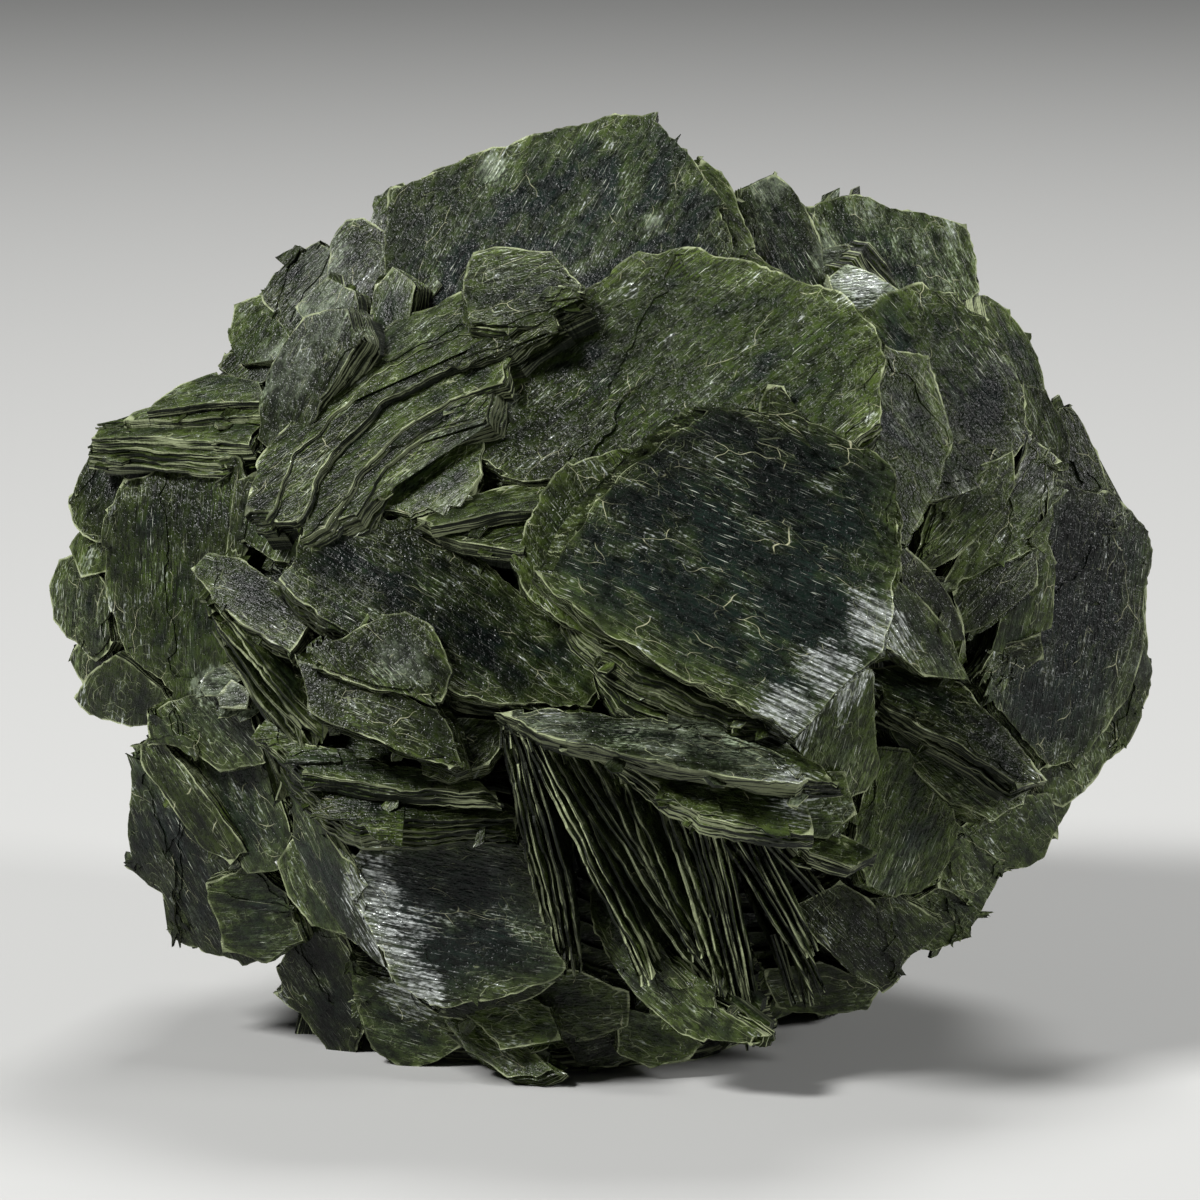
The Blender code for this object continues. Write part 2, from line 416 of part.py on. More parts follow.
def fan_plates():
    """The fan of thin blades under the tongue, seen on their edges."""
    edge_plate("fan_1", (50.8, 73), (56.2, 97.2), 41, 31, 24, 1.6, 14)
    edge_plate("fan_2", (51.2, 72), (57.4, 96), 42, 32, 16, 1.3, 15)
    edge_plate("fan_3", (51.8, 72.4), (58.6, 97.4), 42.5, 30, 10, 1.3, 16)
    edge_plate("fan_4", (52.6, 72.8), (65.8, 98.4), 43, 33, 16, 1.5, 16)
    edge_plate("fan_5", (54, 73.6), (67.8, 99.4), 42, 31, 22, 1.3, 16)
    edge_plate("fan_6", (55.4, 74), (73, 100.2), 41, 31, 26, 1.4, 17)
    edge_plate("fan_7", (58.6, 75), (74.4, 104), 40, 29, 30, 1.6, 18)
    edge_plate("fan_8", (61, 76), (70.6, 96), 39.5, 33, 34, 1.3, 16)
    edge_plate("fan_9", (64, 77), (71.6, 92), 39.5, 34, 30, 1.3, 15)
    edge_plate("fan_10", (67.4, 80.6), (73.6, 100), 39, 31, 20, 1.4, 16)
    edge_plate("fan_11", (69.8, 81.6), (75.4, 103.6), 39, 29, 12, 1.4, 16)
    edge_plate("fan_12", (71.6, 82), (76.4, 104.9), 39, 28.5, 4, 1.6, 17)
    edge_plate("fan_13", (73.4, 84), (82.9, 99.2), 38, 28, 10, 1.4, 15)
    edge_plate("fan_14", (75, 83.2), (81.6, 95.6), 38, 31, 8, 1.3, 13)
    edge_plate("fan_15", (76.6, 83.4), (82.6, 89.8), 38, 34, 8, 1.2, 12)
    edge_plate("fan_16", (77.8, 93.6), (79.8, 100.4), 30, 25, -6, 1.3, 10)
    edge_plate("fan_17", (80.6, 95.6), (81.2, 100.6), 29, 25, -10, 1.3, 10)
    face_plate("fan_leaf", 31.5, -24, -6, 2.4, [(58.4, 88.6), (60.6, 88), (65, 94), (70.4, 99.4),
               (76.4, 103.8), (76, 105.3), (70.6, 104.8), (66, 102), (62, 97.6), (59, 93.6)])
    edge_plate("whisker_1", (20.4, 60.4), (32.6, 74), 33, 35, 40, 1.3, 12)
    edge_plate("whisker_2", (21.4, 62.6), (31.4, 75.4), 31, 34, 40, 1.2, 12)
    edge_plate("whisker_3", (22.4, 65), (29.6, 77.4), 30, 32, 40, 1.2, 12)
    edge_plate("whisker_4", (24.6, 70.4), (28, 80.6), 28, 29, 30, 1.2, 10)


def silhouette_reach(across, upward):
    """How far the front view's outer line lies from its middle in a direction within the view."""
    heading = Vector((across, -upward)).normalized()
    for start, end in zip(SILHOUETTE, SILHOUETTE[1:] + SILHOUETTE[:1]):
        start, end = Vector(start) - Vector(VIEW_MIDDLE), Vector(end) - Vector(VIEW_MIDDLE)
        side = end - start
        turn = heading.cross(side)
        if turn:
            distance, share = start.cross(side) / turn, start.cross(heading) / turn
            if distance > 0.0 and 0.0 <= share <= 1.0:
                return distance * VIEW_UNIT
    return BACK_REACH


def back_seat(outward):
    """The middle of a back plate that lies in a direction from the rosette's middle."""
    across, upward, hidden = (outward.dot(axis) for axis in (VIEW_RIGHT, VIEW_UP, VIEW_FORWARD))
    rim = silhouette_reach(across, upward)
    reach = 1.0 / math.hypot(math.hypot(across, upward) / rim, hidden / BACK_REACH)
    at_rim, at_back = BACK_PLATE_SEATS
    return ROSETTE_MIDDLE + outward * reach * (at_rim + (at_back - at_rim) * hidden)


def hexagonal_plate(name, seat, normal, radius, dice):
    """A pseudo-hexagonal plate with uneven corners."""
    first_arm = normal.orthogonal().normalized()
    spin = dice.uniform(0.0, math.pi)
    outline = []
    for corner in range(CORNERS):
        angle = spin + math.tau * (corner + dice.uniform(-CORNER_TURN, CORNER_TURN)) / CORNERS
        arm = first_arm * math.cos(angle) + normal.cross(first_arm) * math.sin(angle)
        outline.append(seat + arm * radius * dice.uniform(*CORNER_REACH))
    slab(name, outline, normal, dice.uniform(*BACK_PLATE_THICKNESS))


def back_plates():
    """The plates of what the front view hides, on a spiral from the top down, leaning on each other."""
    dice = random.Random(SEED)
    for index in range(SPIRAL_PLATES):
        height = 1.0 - 2.0 * (index + 0.5) / SPIRAL_PLATES
        level = math.sqrt(1.0 - height * height)
        angle = GOLDEN_ANGLE * index
        outward = Vector((level * math.cos(angle), level * math.sin(angle), height))
        if outward.dot(VIEW_FORWARD) > RIM_LIMIT and outward.z > UNDER_LIMIT:
            sideways = outward.cross(SWIRL_AXIS).normalized()
            downward = sideways.cross(outward)
            lean = sideways * dice.uniform(*SIDEWAYS_LEANS) + downward * dice.uniform(*DOWNWARD_LEANS)
            normal = (outward + lean * BACK_PLATE_LEAN).normalized()
            radius = dice.uniform(*BACK_PLATE_RADII)
            hexagonal_plate(f"back_{index}", back_seat(outward), normal, radius, dice)


def skirt_plates():
    """The low plates round the sides and the back of the foot."""
    dice = random.Random(SEED)
    for index in range(SKIRT_PLATES):
        angle = SKIRT_FIRST + (SKIRT_LAST - SKIRT_FIRST) * index / (SKIRT_PLATES - 1)
        outward = Vector((math.cos(angle), math.sin(angle), SKIRT_RISE))
        sideways = SKIRT_RIGHT if outward.x > 0.0 else SKIRT_LEFT
        height = dice.uniform(*SKIRT_HEIGHTS)
        seat = Vector((outward.x * sideways, outward.y * SKIRT_BACK, height))
        hexagonal_plate(f"skirt_{index}", seat, outward.normalized(), dice.uniform(*SKIRT_RADII), dice)


def core():
    """The rounded middle that all the plates grow from."""
    bm = bmesh.new()
    bmesh.ops.create_icosphere(bm, subdivisions=CORE_SUBDIVISIONS, radius=1.0)
    bmesh.ops.scale(bm, vec=CORE_REACH, verts=bm.verts)
    bmesh.ops.translate(bm, vec=CORE_MIDDLE, verts=bm.verts)
    return add_object("core", bm, GROUND)


def foot():
    """The broken foot under the rosette."""
    bm = bmesh.new()
    face = bm.faces.new([bm.verts.new((x, y, -FOOT_THICKNESS / 2)) for x, y in FOOT_OUTLINE])
    face = grow(bm, face, Vector((0.0, 0.0, FOOT_THICKNESS)), 1.0)
    grow(bm, face, Vector((0.0, 0.0, PLATE_ROOT)), ROOT_SHARE)
    return add_object("foot", bm, PLATES)


def ground_cut():
    """The block below the ground, which cuts the foot off flat."""
    bm = bmesh.new()
    bmesh.ops.create_cube(bm, size=CUT_BLOCK)
    bmesh.ops.translate(bm, vec=(0.0, 0.0, -CUT_BLOCK / 2), verts=bm.verts)
    return add_object("ground_cut", bm, GROUND)


def joined(body, cutter):
    """Unite the body with all the plates, cut it off at the ground and return the result as a mesh."""
    union = body.modifiers.new("grown together", "BOOLEAN")
    union.operation = "UNION"
    union.operand_type = "COLLECTION"
    union.collection = collection_named(PLATES)
    union.solver = "EXACT"
    cut = body.modifiers.new("broken off", "BOOLEAN")
    cut.operation = "DIFFERENCE"
    cut.object = cutter
    cut.solver = "EXACT"
    evaluated = body.evaluated_get(bpy.context.evaluated_depsgraph_get())
    return bpy.data.meshes.new_from_object(evaluated)


def closed_skins(bm):
    """The separate closed surfaces in a bmesh, as lists of faces."""
    unseen = set(bm.faces)
    skins = []
    while unseen:
        to_visit = [unseen.pop()]
        skin = []
        while to_visit:
            face = to_visit.pop()
            skin.append(face)
            neighbours = {other for edge in face.edges for other in edge.link_faces} & unseen
            unseen -= neighbours
            to_visit.extend(neighbours)
        skins.append(skin)
    return skins


def tidy(mesh):
    """Keep the outer skin alone: weld stray points, drop hollows inside and merge flat faces."""
    bm = bmesh.new()
    bm.from_mesh(mesh)
    bmesh.ops.remove_doubles(bm, verts=bm.verts, dist=WELD)
    hollows = sorted(closed_skins(bm), key=len)[:-1]
    bmesh.ops.delete(bm, geom=[face for skin in hollows for face in skin], context="FACES")
    bmesh.ops.dissolve_limit(bm, angle_limit=FLAT_ANGLE, verts=bm.verts, edges=bm.edges)
    bmesh.ops.triangulate(bm, faces=bm.faces)
    bm.to_mesh(mesh)
    bm.free()


def chlorite():
    """Dark grey-green chlorite with a waxy shine."""
    material = bpy.data.materials.new("chlorite")
    material.use_nodes = True
    shader = material.node_tree.nodes["Principled BSDF"]
    shader.inputs["Base Color"].default_value = (0.060, 0.075, 0.045, 1.0)
    shader.inputs["Roughness"].default_value = 0.42
    shader.inputs["Metallic"].default_value = 0.0
    return material


def main():
    clear_scene()
    crown_plates()
    brow_plates()
    front_plates()
    roof_plates()
    left_plates()
    low_left_plates()
    base_plates()
    right_plates()
    fan_plates()
    back_plates()
    skirt_plates()
    foot()
    body = core()
    mesh = joined(body, ground_cut())
    tidy(mesh)
    solid = bpy.data.objects.new("chlorite_rosette", mesh)
    collection_named(ROSETTE).objects.link(solid)
    mesh.materials.clear()
    mesh.materials.append(chlorite())


if __name__ == "__main__":
    main()
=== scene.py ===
# %% [markdown]
# # A chlorite rosette
# This lesson dresses the packed model of a chlorite specimen: some 180 dark green crystals that grew
# through each other. Chlorite is a sheet mineral like mica, so every crystal is a book of thin leaves
# whose broken rims show as fine pale lines. The packed model holds the crystals as plain slabs. Here
# each slab becomes such a book, at the same place and the same size.

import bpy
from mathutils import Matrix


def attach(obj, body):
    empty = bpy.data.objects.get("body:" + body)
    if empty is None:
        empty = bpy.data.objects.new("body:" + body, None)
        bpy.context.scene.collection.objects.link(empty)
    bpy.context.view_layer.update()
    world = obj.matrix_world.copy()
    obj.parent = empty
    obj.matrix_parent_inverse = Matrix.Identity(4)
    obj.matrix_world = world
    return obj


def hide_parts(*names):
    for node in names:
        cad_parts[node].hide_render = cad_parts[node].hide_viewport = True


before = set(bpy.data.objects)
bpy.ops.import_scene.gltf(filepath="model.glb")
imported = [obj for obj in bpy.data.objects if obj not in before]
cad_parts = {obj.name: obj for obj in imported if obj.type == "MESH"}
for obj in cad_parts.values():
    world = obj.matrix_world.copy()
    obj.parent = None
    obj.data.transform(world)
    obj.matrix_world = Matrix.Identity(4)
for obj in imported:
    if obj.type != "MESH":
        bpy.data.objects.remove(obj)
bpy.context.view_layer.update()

# %% [markdown]
# ## The front view
# The crystals that face the front are given as they are seen: by outlines in a front view, in
# millimetres to the right and down, with how far each stands out and how it leans. The eye is 0.6 m
# away and looks 10 degrees down. A corner of a crystal lies where the ray through its place in the
# view meets the crystal's plane. The other way to place them, by turning each crystal in space until
# it looks right, takes far more tries.

# %% The front view
import math
import random
from types import SimpleNamespace

import bmesh
import bpy
import numpy as np
from mathutils import Matrix, Vector, noise

MM = 0.001
VIEW_MIDDLE = (60.0, 60.0)
VIEW_CENTRE = Vector((-0.0002, 0.0071, 0.0415))
EYE_DISTANCE = 0.600
EYE_ELEVATION = math.radians(10.0)
VIEW_RIGHT = Vector((1.0, 0.0, 0.0))
VIEW_UP = Vector((0.0, math.sin(EYE_ELEVATION), math.cos(EYE_ELEVATION)))
VIEW_FORWARD = Vector((0.0, math.cos(EYE_ELEVATION), -math.sin(EYE_ELEVATION)))
EYE = VIEW_CENTRE - VIEW_FORWARD * EYE_DISTANCE


def view_ray(right, down):
    """The direction from the eye through a place in the front view."""
    on_view = (VIEW_CENTRE + VIEW_RIGHT * ((right - VIEW_MIDDLE[0]) * MM)
               + VIEW_UP * ((VIEW_MIDDLE[1] - down) * MM))
    return (on_view - EYE).normalized()


def view_point(right, down, out):
    """The point at a place in the front view that stands out so many millimetres."""
    ray = view_ray(right, down)
    return EYE + ray * ((EYE_DISTANCE - out * MM) / ray.dot(VIEW_FORWARD))


def view_places(points):
    """Where points, as rows of an array, lie in the front view, in millimetres right and down."""
    seen = points - np.array(EYE)
    scale = EYE_DISTANCE / MM / (seen @ np.array(VIEW_FORWARD))
    return np.stack((VIEW_MIDDLE[0] + seen @ np.array(VIEW_RIGHT) * scale,
                     VIEW_MIDDLE[1] - seen @ np.array(VIEW_UP) * scale), axis=1)


def leaning(turn, tip):
    """The outward direction of a face turned to the right and tipped up, in degrees."""
    turn, tip = math.radians(turn), math.radians(tip)
    return (VIEW_RIGHT * (math.sin(turn) * math.cos(tip)) + VIEW_UP * math.sin(tip)
            - VIEW_FORWARD * (math.cos(turn) * math.cos(tip)))


print("eye at", [round(c, 4) for c in EYE])

# %% [markdown]
# ## The crystals of the crown
# Each row is a crystal: its name, how far it stands out, its turn and tip, its thickness, then the
# direction of its grain in the view, how green it is and how pale, and its outline. A dark basal
# face looks blue-black and a thin or broken one green, so the greenness differs from one to the next.

# %% The crystals of the crown
CROWN = [
    ("crown_shield", 21, -4, 27, 5.0, 62, 0.42, 0.06, [(39, 18.5), (47.8, 15.2), (54.5, 13), (60.4, 11.4),
        (65.8, 11.1), (69.3, 14.3), (73.5, 19.5), (75, 24), (77.5, 27.5), (66, 34), (50, 37), (37.5, 36),
        (38.3, 26)]),
    ("crown_wing", 17, -16, 24, 4.0, 60, 0.5, 0.2, [(36.0, 25), (37.4, 19.6), (39.6, 17.5), (46, 15),
        (50, 20), (46, 30), (38, 36), (34.6, 32)]),
    ("crown_tail", 19, 26, 24, 4.0, -50, 0.5, 0.1, [(69.8, 14.8), (71.8, 16.6), (73.9, 20.4), (75.4, 24.5),
        (79.6, 27.6), (77, 30), (69, 29), (66, 20)]),
    ("crown_rib", 25, -30, 15, 3.0, 70, 0.5, 0.2, [(36.2, 34), (37.2, 28.4), (38.8, 26.2), (41.5, 28),
        (40, 35)]),
    ("crown_step", 31, -4, 32, 3.5, 12, 0.6, 0.1, [(46.2, 29.2), (47.3, 25.2), (50, 24.7), (55.2, 24.9),
        (58.3, 28.3), (58.6, 30), (54, 33), (47, 33)]),
    ("crest", 11, 12, 18, 5.0, -72, 0.5, 0.42, [(80.8, 20.5), (82.5, 18.8), (86, 18.7), (91.5, 20.4),
        (96.4, 21.8), (97.6, 25), (98.4, 29), (95, 32.5), (88, 33), (82, 28)]),
    ("crest_left", 14, 15, 20, 5.0, -70, 0.5, 0.45, [(73.4, 18.5), (77.3, 16.5), (79, 18.7), (80.6, 20.5),
        (82.1, 24.5), (83, 29), (78, 31), (73, 26)]),
    ("crest_chip", 17.5, 4, 30, 2.5, 5, 0.1, 0.85, [(82.2, 27.5), (84.3, 26.2), (87.5, 27.3), (90.5, 29.2),
        (89.5, 31), (85, 31.4), (83, 29.5)]),
    ("crest_nub", 14, 0, 20, 3.0, 0, 0.6, 0.6, [(81.6, 24.9), (84.8, 24.2), (86, 27), (82.2, 28.5)]),
]
print("crown:", len(CROWN))

# %% [markdown]
# ## The brow and the front
# The brow is a broad green face above the middle. The heart is the large blue-black crystal in the
# middle. It lies on a greener one, whose rim shows round it, and the tongue below it reaches out over
# the fan.

# %% The brow and the front
BROW = [
    ("brow", 33.0, -8, 30, 4.5, 42, 0.85, 0.06, [(46.6, 43.5), (48.6, 41), (50.2, 35.6), (56, 30.8),
        (64, 25.1), (70, 24.8), (76, 26.6), (84, 29.2), (88.2, 33.8), (88, 42), (80, 48), (62, 48),
        (50, 48.6), (47.3, 46.6)]),
    ("brow_right", 32, 22, 14, 3.5, -62, 0.7, 0.08, [(80, 32), (88, 34), (93, 35.4), (93.8, 38.5),
        (95.3, 44), (93.5, 50), (90.8, 54.4), (87, 55), (80, 50), (78, 40)]),
]
FRONT = [
    ("heart", 45.0, 4, 12, 5.0, -29, 0.22, 0.04, [(62.6, 44.2), (66.6, 41), (69, 39), (74, 39.4),
        (80, 40.4), (86.5, 43.8), (89.6, 46.8), (90.2, 52), (89.6, 60), (88.8, 65.3), (86.3, 67.2),
        (79.6, 73.8), (70, 69), (57, 61.2), (53.2, 57.2), (55.3, 52), (59, 47.3)]),
    ("heart_under", 39.5, 3, 13, 3.0, -60, 0.75, 0.06, [(50.8, 55.6), (54, 49.5), (56.6, 46), (62.6, 44.4),
        (76, 41), (88, 45), (90.8, 52), (89, 63), (70, 71), (56, 62), (52, 58.8)]),
    ("heart_chip", 37.5, 0, 10, 2.0, 0, 0.6, 0.2, [(76, 40.4), (76.8, 38.4), (78.4, 38.6), (79.3, 40.4),
        (78, 43), (76, 43)]),
    ("sill", 43.0, 8, 42, 2.2, -34, 0.5, 0.15, [(55.5, 59.8), (60, 60.6), (66, 63.8), (72, 66), (75.5, 69),
        (77, 72.2), (73, 72.2), (64, 68.5), (60, 66), (57, 63)]),
    ("sill_under", 42.5, 10, 42, 2.2, -34, 0.55, 0.12, [(58, 64), (64, 66.5), (70, 69), (77, 72), (83, 76),
        (84.6, 77.8), (80, 77.6), (71, 74), (62, 70)]),
    ("tongue", 46.0, 0, 50, 2.4, -14, 0.1, 0.62, [(49.5, 70.4), (52, 69.8), (56, 70.1), (62, 71.1),
        (70, 71.9), (79, 74.4), (81.2, 76.6), (80, 77.7), (72, 77.2), (65, 76), (60, 74.6), (54, 73)]),
    ("tongue_under", 44.5, 2, 38, 2.6, -14, 0.6, 0.15, [(60, 74.2), (68, 75.5), (80, 77.6), (81.3, 83.2),
        (76, 82.8), (70, 81.6), (67, 80), (63.5, 77)]),
    ("cheek", 39.5, 8, 26, 4.0, -42, 0.45, 0.08, [(28, 57.5), (30, 52.8), (34.4, 50.4), (40, 51.6),
        (47.2, 53.8), (53, 59.4), (57.4, 62.4), (60.2, 65.5), (61.3, 69.2), (60, 71), (53, 71), (46, 69.4),
        (40, 66), (33.4, 62.8), (30, 60)]),
    ("jaw_upper", 42.6, -5, 16, 3.0, -52, 0.6, 0.1, [(30, 64.5), (34, 62.6), (37.5, 61), (40, 60.8),
        (43.4, 62.6), (45.5, 67), (44, 70), (37, 69), (31, 67)]),
    ("jaw", 43.0, -8, 12, 3.5, -30, 0.75, 0.08, [(29.2, 65.2), (34, 66.5), (40, 69), (44, 70.2),
        (45.6, 72.4), (47, 76.4), (45, 77.2), (40, 75.2), (33, 72.6), (30.5, 71), (30, 68)]),
    ("jaw_tab", 40.0, 5, 14, 3.0, 40, 0.6, 0.08, [(42, 71), (49.8, 71.4), (50.6, 74.4), (49, 76.6),
        (45, 77.7), (42.5, 76.6)]),
    ("shelf", 36.0, -5, 42, 2.6, -10, 0.7, 0.06, [(27.5, 75.2), (32, 76), (43, 77.6), (52, 79.8),
        (51.9, 82.1), (44, 83), (36, 83.7), (34, 82.9), (30, 79.4)]),
    ("shelf_upper", 36.5, -6, 42, 2.0, -14, 0.3, 0.06, [(25, 72.6), (30, 74), (38, 76), (48, 77.8),
        (50, 79.4), (40, 79.2), (30, 77.6)]),
    ("shelf_lower", 31.0, -5, 30, 3.0, -6, 0.5, 0.06, [(39, 83), (46, 82.4), (52, 82), (52, 85.1),
        (44, 85.9), (41, 85.2)]),
    ("gap_strip_1", 38.0, -14, 50, 1.6, 18, 0.6, 0.15, [(41.5, 51.6), (47, 49.4), (54.4, 47.7), (56, 50.4),
        (48, 51.6), (43, 52.6)]),
    ("gap_strip_2", 38.2, -14, 50, 1.6, 14, 0.6, 0.15, [(43, 53), (50, 51.8), (54, 51.4), (52.4, 55),
        (46, 54.2)]),
]
print("brow and front:", len(BROW) + len(FRONT))

# %% [markdown]
# ## The roof
# Thin crystals overlap like tiles on the upper left, each lower and further out than the one before.

# %% The roof
ROOF = [
    ("roof_1", 31.0, -28, 38, 2.6, 42, 0.45, 0.06, [(24.6, 52), (26, 46), (29, 42), (31.5, 38.5),
        (34.5, 35.2), (40, 32), (47, 28.9), (56.5, 28.5), (58.3, 29.4), (50, 33.6), (42, 35.6), (36, 39.6),
        (30, 46), (27, 52)]),
    ("roof_2", 32.5, -28, 38, 2.4, 42, 0.5, 0.06, [(27, 52), (29, 44), (34, 38), (40, 34.5), (50, 32),
        (56, 31), (51, 35), (44, 37.4), (38, 40.6), (33, 45.5), (30, 52)]),
    ("roof_3", 33.8, -28, 38, 2.4, 40, 0.5, 0.08, [(30, 54), (31.5, 46), (37, 40), (44, 36.4), (51, 34),
        (50.8, 38), (45, 40.2), (40, 43), (36, 47.4), (33, 52.6)]),
    ("roof_4", 34.8, -28, 38, 2.4, 40, 0.55, 0.08, [(32.5, 53), (34.6, 46.4), (40, 41.6), (46, 39),
        (50, 38), (49.2, 42), (43, 43.8), (39, 47), (36, 51.6)]),
    ("roof_5", 34.8, -22, 30, 3.0, 38, 0.6, 0.08, [(35, 51), (38, 46.4), (40, 43.6), (48, 41.6),
        (48.4, 47), (46, 50.6), (41, 52)]),
    ("roof_foot", 30.5, -28, 14, 3.0, 55, 0.5, 0.12, [(23.9, 54.8), (25.3, 49), (27.5, 46.2), (30.5, 45),
        (31.4, 50), (29.5, 57.4), (27, 57)]),
    ("post", 28.0, -30, 5, 2.0, 85, 0.5, 0.15, [(22.4, 55.4), (23.2, 48), (26.5, 46.6), (26, 52), (24, 56)]),
    ("milky_blade", 29.0, -34, 12, 3.0, 60, 0.6, 0.5, [(25.3, 44), (25.5, 40), (27.5, 34.6), (30, 31.5),
        (34.5, 30.6), (36, 34), (33, 38.5), (30, 43), (26.6, 46)]),
]
print("roof:", len(ROOF))

# %% [markdown]
# ## The left side
# Knobs, thin sheets that are seen nearly on their edge and the broad ear make up the left side. Two
# small crumbly crystals there are whitish.

# %% The left side
LEFT = [
    ("knob_1", 14.5, -38, 24, 5.0, 40, 0.6, 0.2, [(22.7, 33.4), (23.3, 30.4), (25.5, 29.5), (30, 27.6),
        (32, 31), (29, 36), (24, 36.8)]),
    ("knob_2", 15.0, -34, 30, 5.0, 45, 0.6, 0.3, [(25.8, 29.3), (27.2, 27.2), (29.8, 24.6), (32, 23.5),
        (34.2, 25), (34, 31), (29, 34)]),
    ("knob_3", 19.0, -26, 24, 5.0, 55, 0.55, 0.35, [(33.2, 24.2), (34.5, 21.9), (36.3, 21.7), (38.5, 23.5),
        (40.5, 27), (39, 32), (35, 34.5), (32.6, 30)]),
    ("knob_4", 14.0, -36, 30, 4.0, 30, 0.6, 0.15, [(21.6, 36.6), (22, 35.2), (24.5, 34.6), (28, 37),
        (25, 39)]),
    ("knob_5", 24.0, -30, 18, 3.0, 50, 0.6, 0.5, [(29, 31), (32.5, 27.6), (35.5, 29), (36, 33), (31, 34)]),
    ("sheet_1", 20.0, -18, 56, 1.6, 4, 0.6, 0.2, [(15.4, 40), (18, 38.3), (21.6, 37), (26.6, 37.6),
        (27.4, 39.6), (20, 40.4), (14.6, 41)]),
    ("sheet_2", 20.6, -18, 56, 1.6, 3, 0.6, 0.2, [(13.4, 41.1), (18, 39.6), (26.6, 39.8), (26.6, 41.8),
        (18, 42.4), (12, 42.3)]),
    ("sheet_3", 20.6, -20, 56, 1.6, 2, 0.6, 0.2, [(9.6, 42.5), (14, 41.2), (21, 41.2), (26.4, 42),
        (25, 44.2), (15, 43.8), (9, 43.7)]),
    ("sheet_4", 21.0, -20, 56, 1.6, 0, 0.55, 0.2, [(8.8, 43.7), (13, 42.8), (22, 43.2), (26, 44.8),
        (22, 46), (12, 45.4), (8.5, 45.2)]),
    ("ear", 22.5, -32, 2, 5.0, 82, 0.85, 0.03, [(8.9, 55), (9.7, 51), (11.8, 48), (15, 47.4), (18, 45.4),
        (23.5, 45.8), (24.4, 50), (23.4, 58), (24, 65), (24, 70), (21, 72.3), (18, 71.9), (15, 69.4),
        (11.4, 66.6), (9.5, 62)]),
    ("ear_top", 16.5, -36, 15, 4.5, 50, 0.55, 0.06, [(7.2, 51.8), (6.7, 49.6), (8.2, 46), (9, 44.2),
        (16, 43), (23, 45), (21, 49), (12, 51), (10, 54), (8.2, 53.4)]),
    ("lobe", 12.0, -46, 0, 4.5, 70, 0.5, 0.2, [(4.9, 58.5), (5.8, 56), (8, 55.2), (11, 58), (11.5, 64),
        (9.6, 66.4), (7.2, 64.2), (5.2, 62)]),
    ("lobe_top", 13.5, -42, 5, 3.5, 60, 0.55, 0.25, [(6.9, 54.6), (8, 53.1), (10.5, 53), (11.5, 57),
        (8, 57.6)]),
    ("lobe_middle", 12.5, -42, -5, 3.5, 75, 0.5, 0.2, [(6.8, 66), (8, 64.2), (11, 64.5), (12, 69),
        (8.2, 68.6)]),
    ("lobe_low", 15.5, -36, -10, 4.5, 60, 0.5, 0.2, [(7.1, 70), (8.6, 67.6), (11.5, 65.6), (16, 69),
        (18, 72.4), (13, 72.9), (8.8, 71.8)]),
    ("snout", 33.0, -16, 34, 3.0, -42, 0.5, 0.2, [(19, 56.6), (20.5, 55), (24, 55.4), (28.5, 58.8),
        (31, 62), (29, 65), (24.5, 62.6), (21, 60)]),
    ("milk_1", 27.5, -20, -5, 2.5, 0, 0.2, 1.0, [(19.8, 69.2), (20.2, 67.5), (22.4, 66.4), (24, 68),
        (22.4, 69.8), (20.5, 69.8)]),
    ("milk_2", 28.5, -15, 10, 2.5, 0, 0.2, 1.0, [(21.4, 69.6), (23, 67.8), (25, 69), (24.6, 70.8),
        (22, 70.8)]),
]
print("left side:", len(LEFT))

# %% [markdown]
# ## The lower left
# The breast is the second blue-black crystal, with a silvery left edge. The flank is beside it, and
# the crystals below it reach down to the foot.

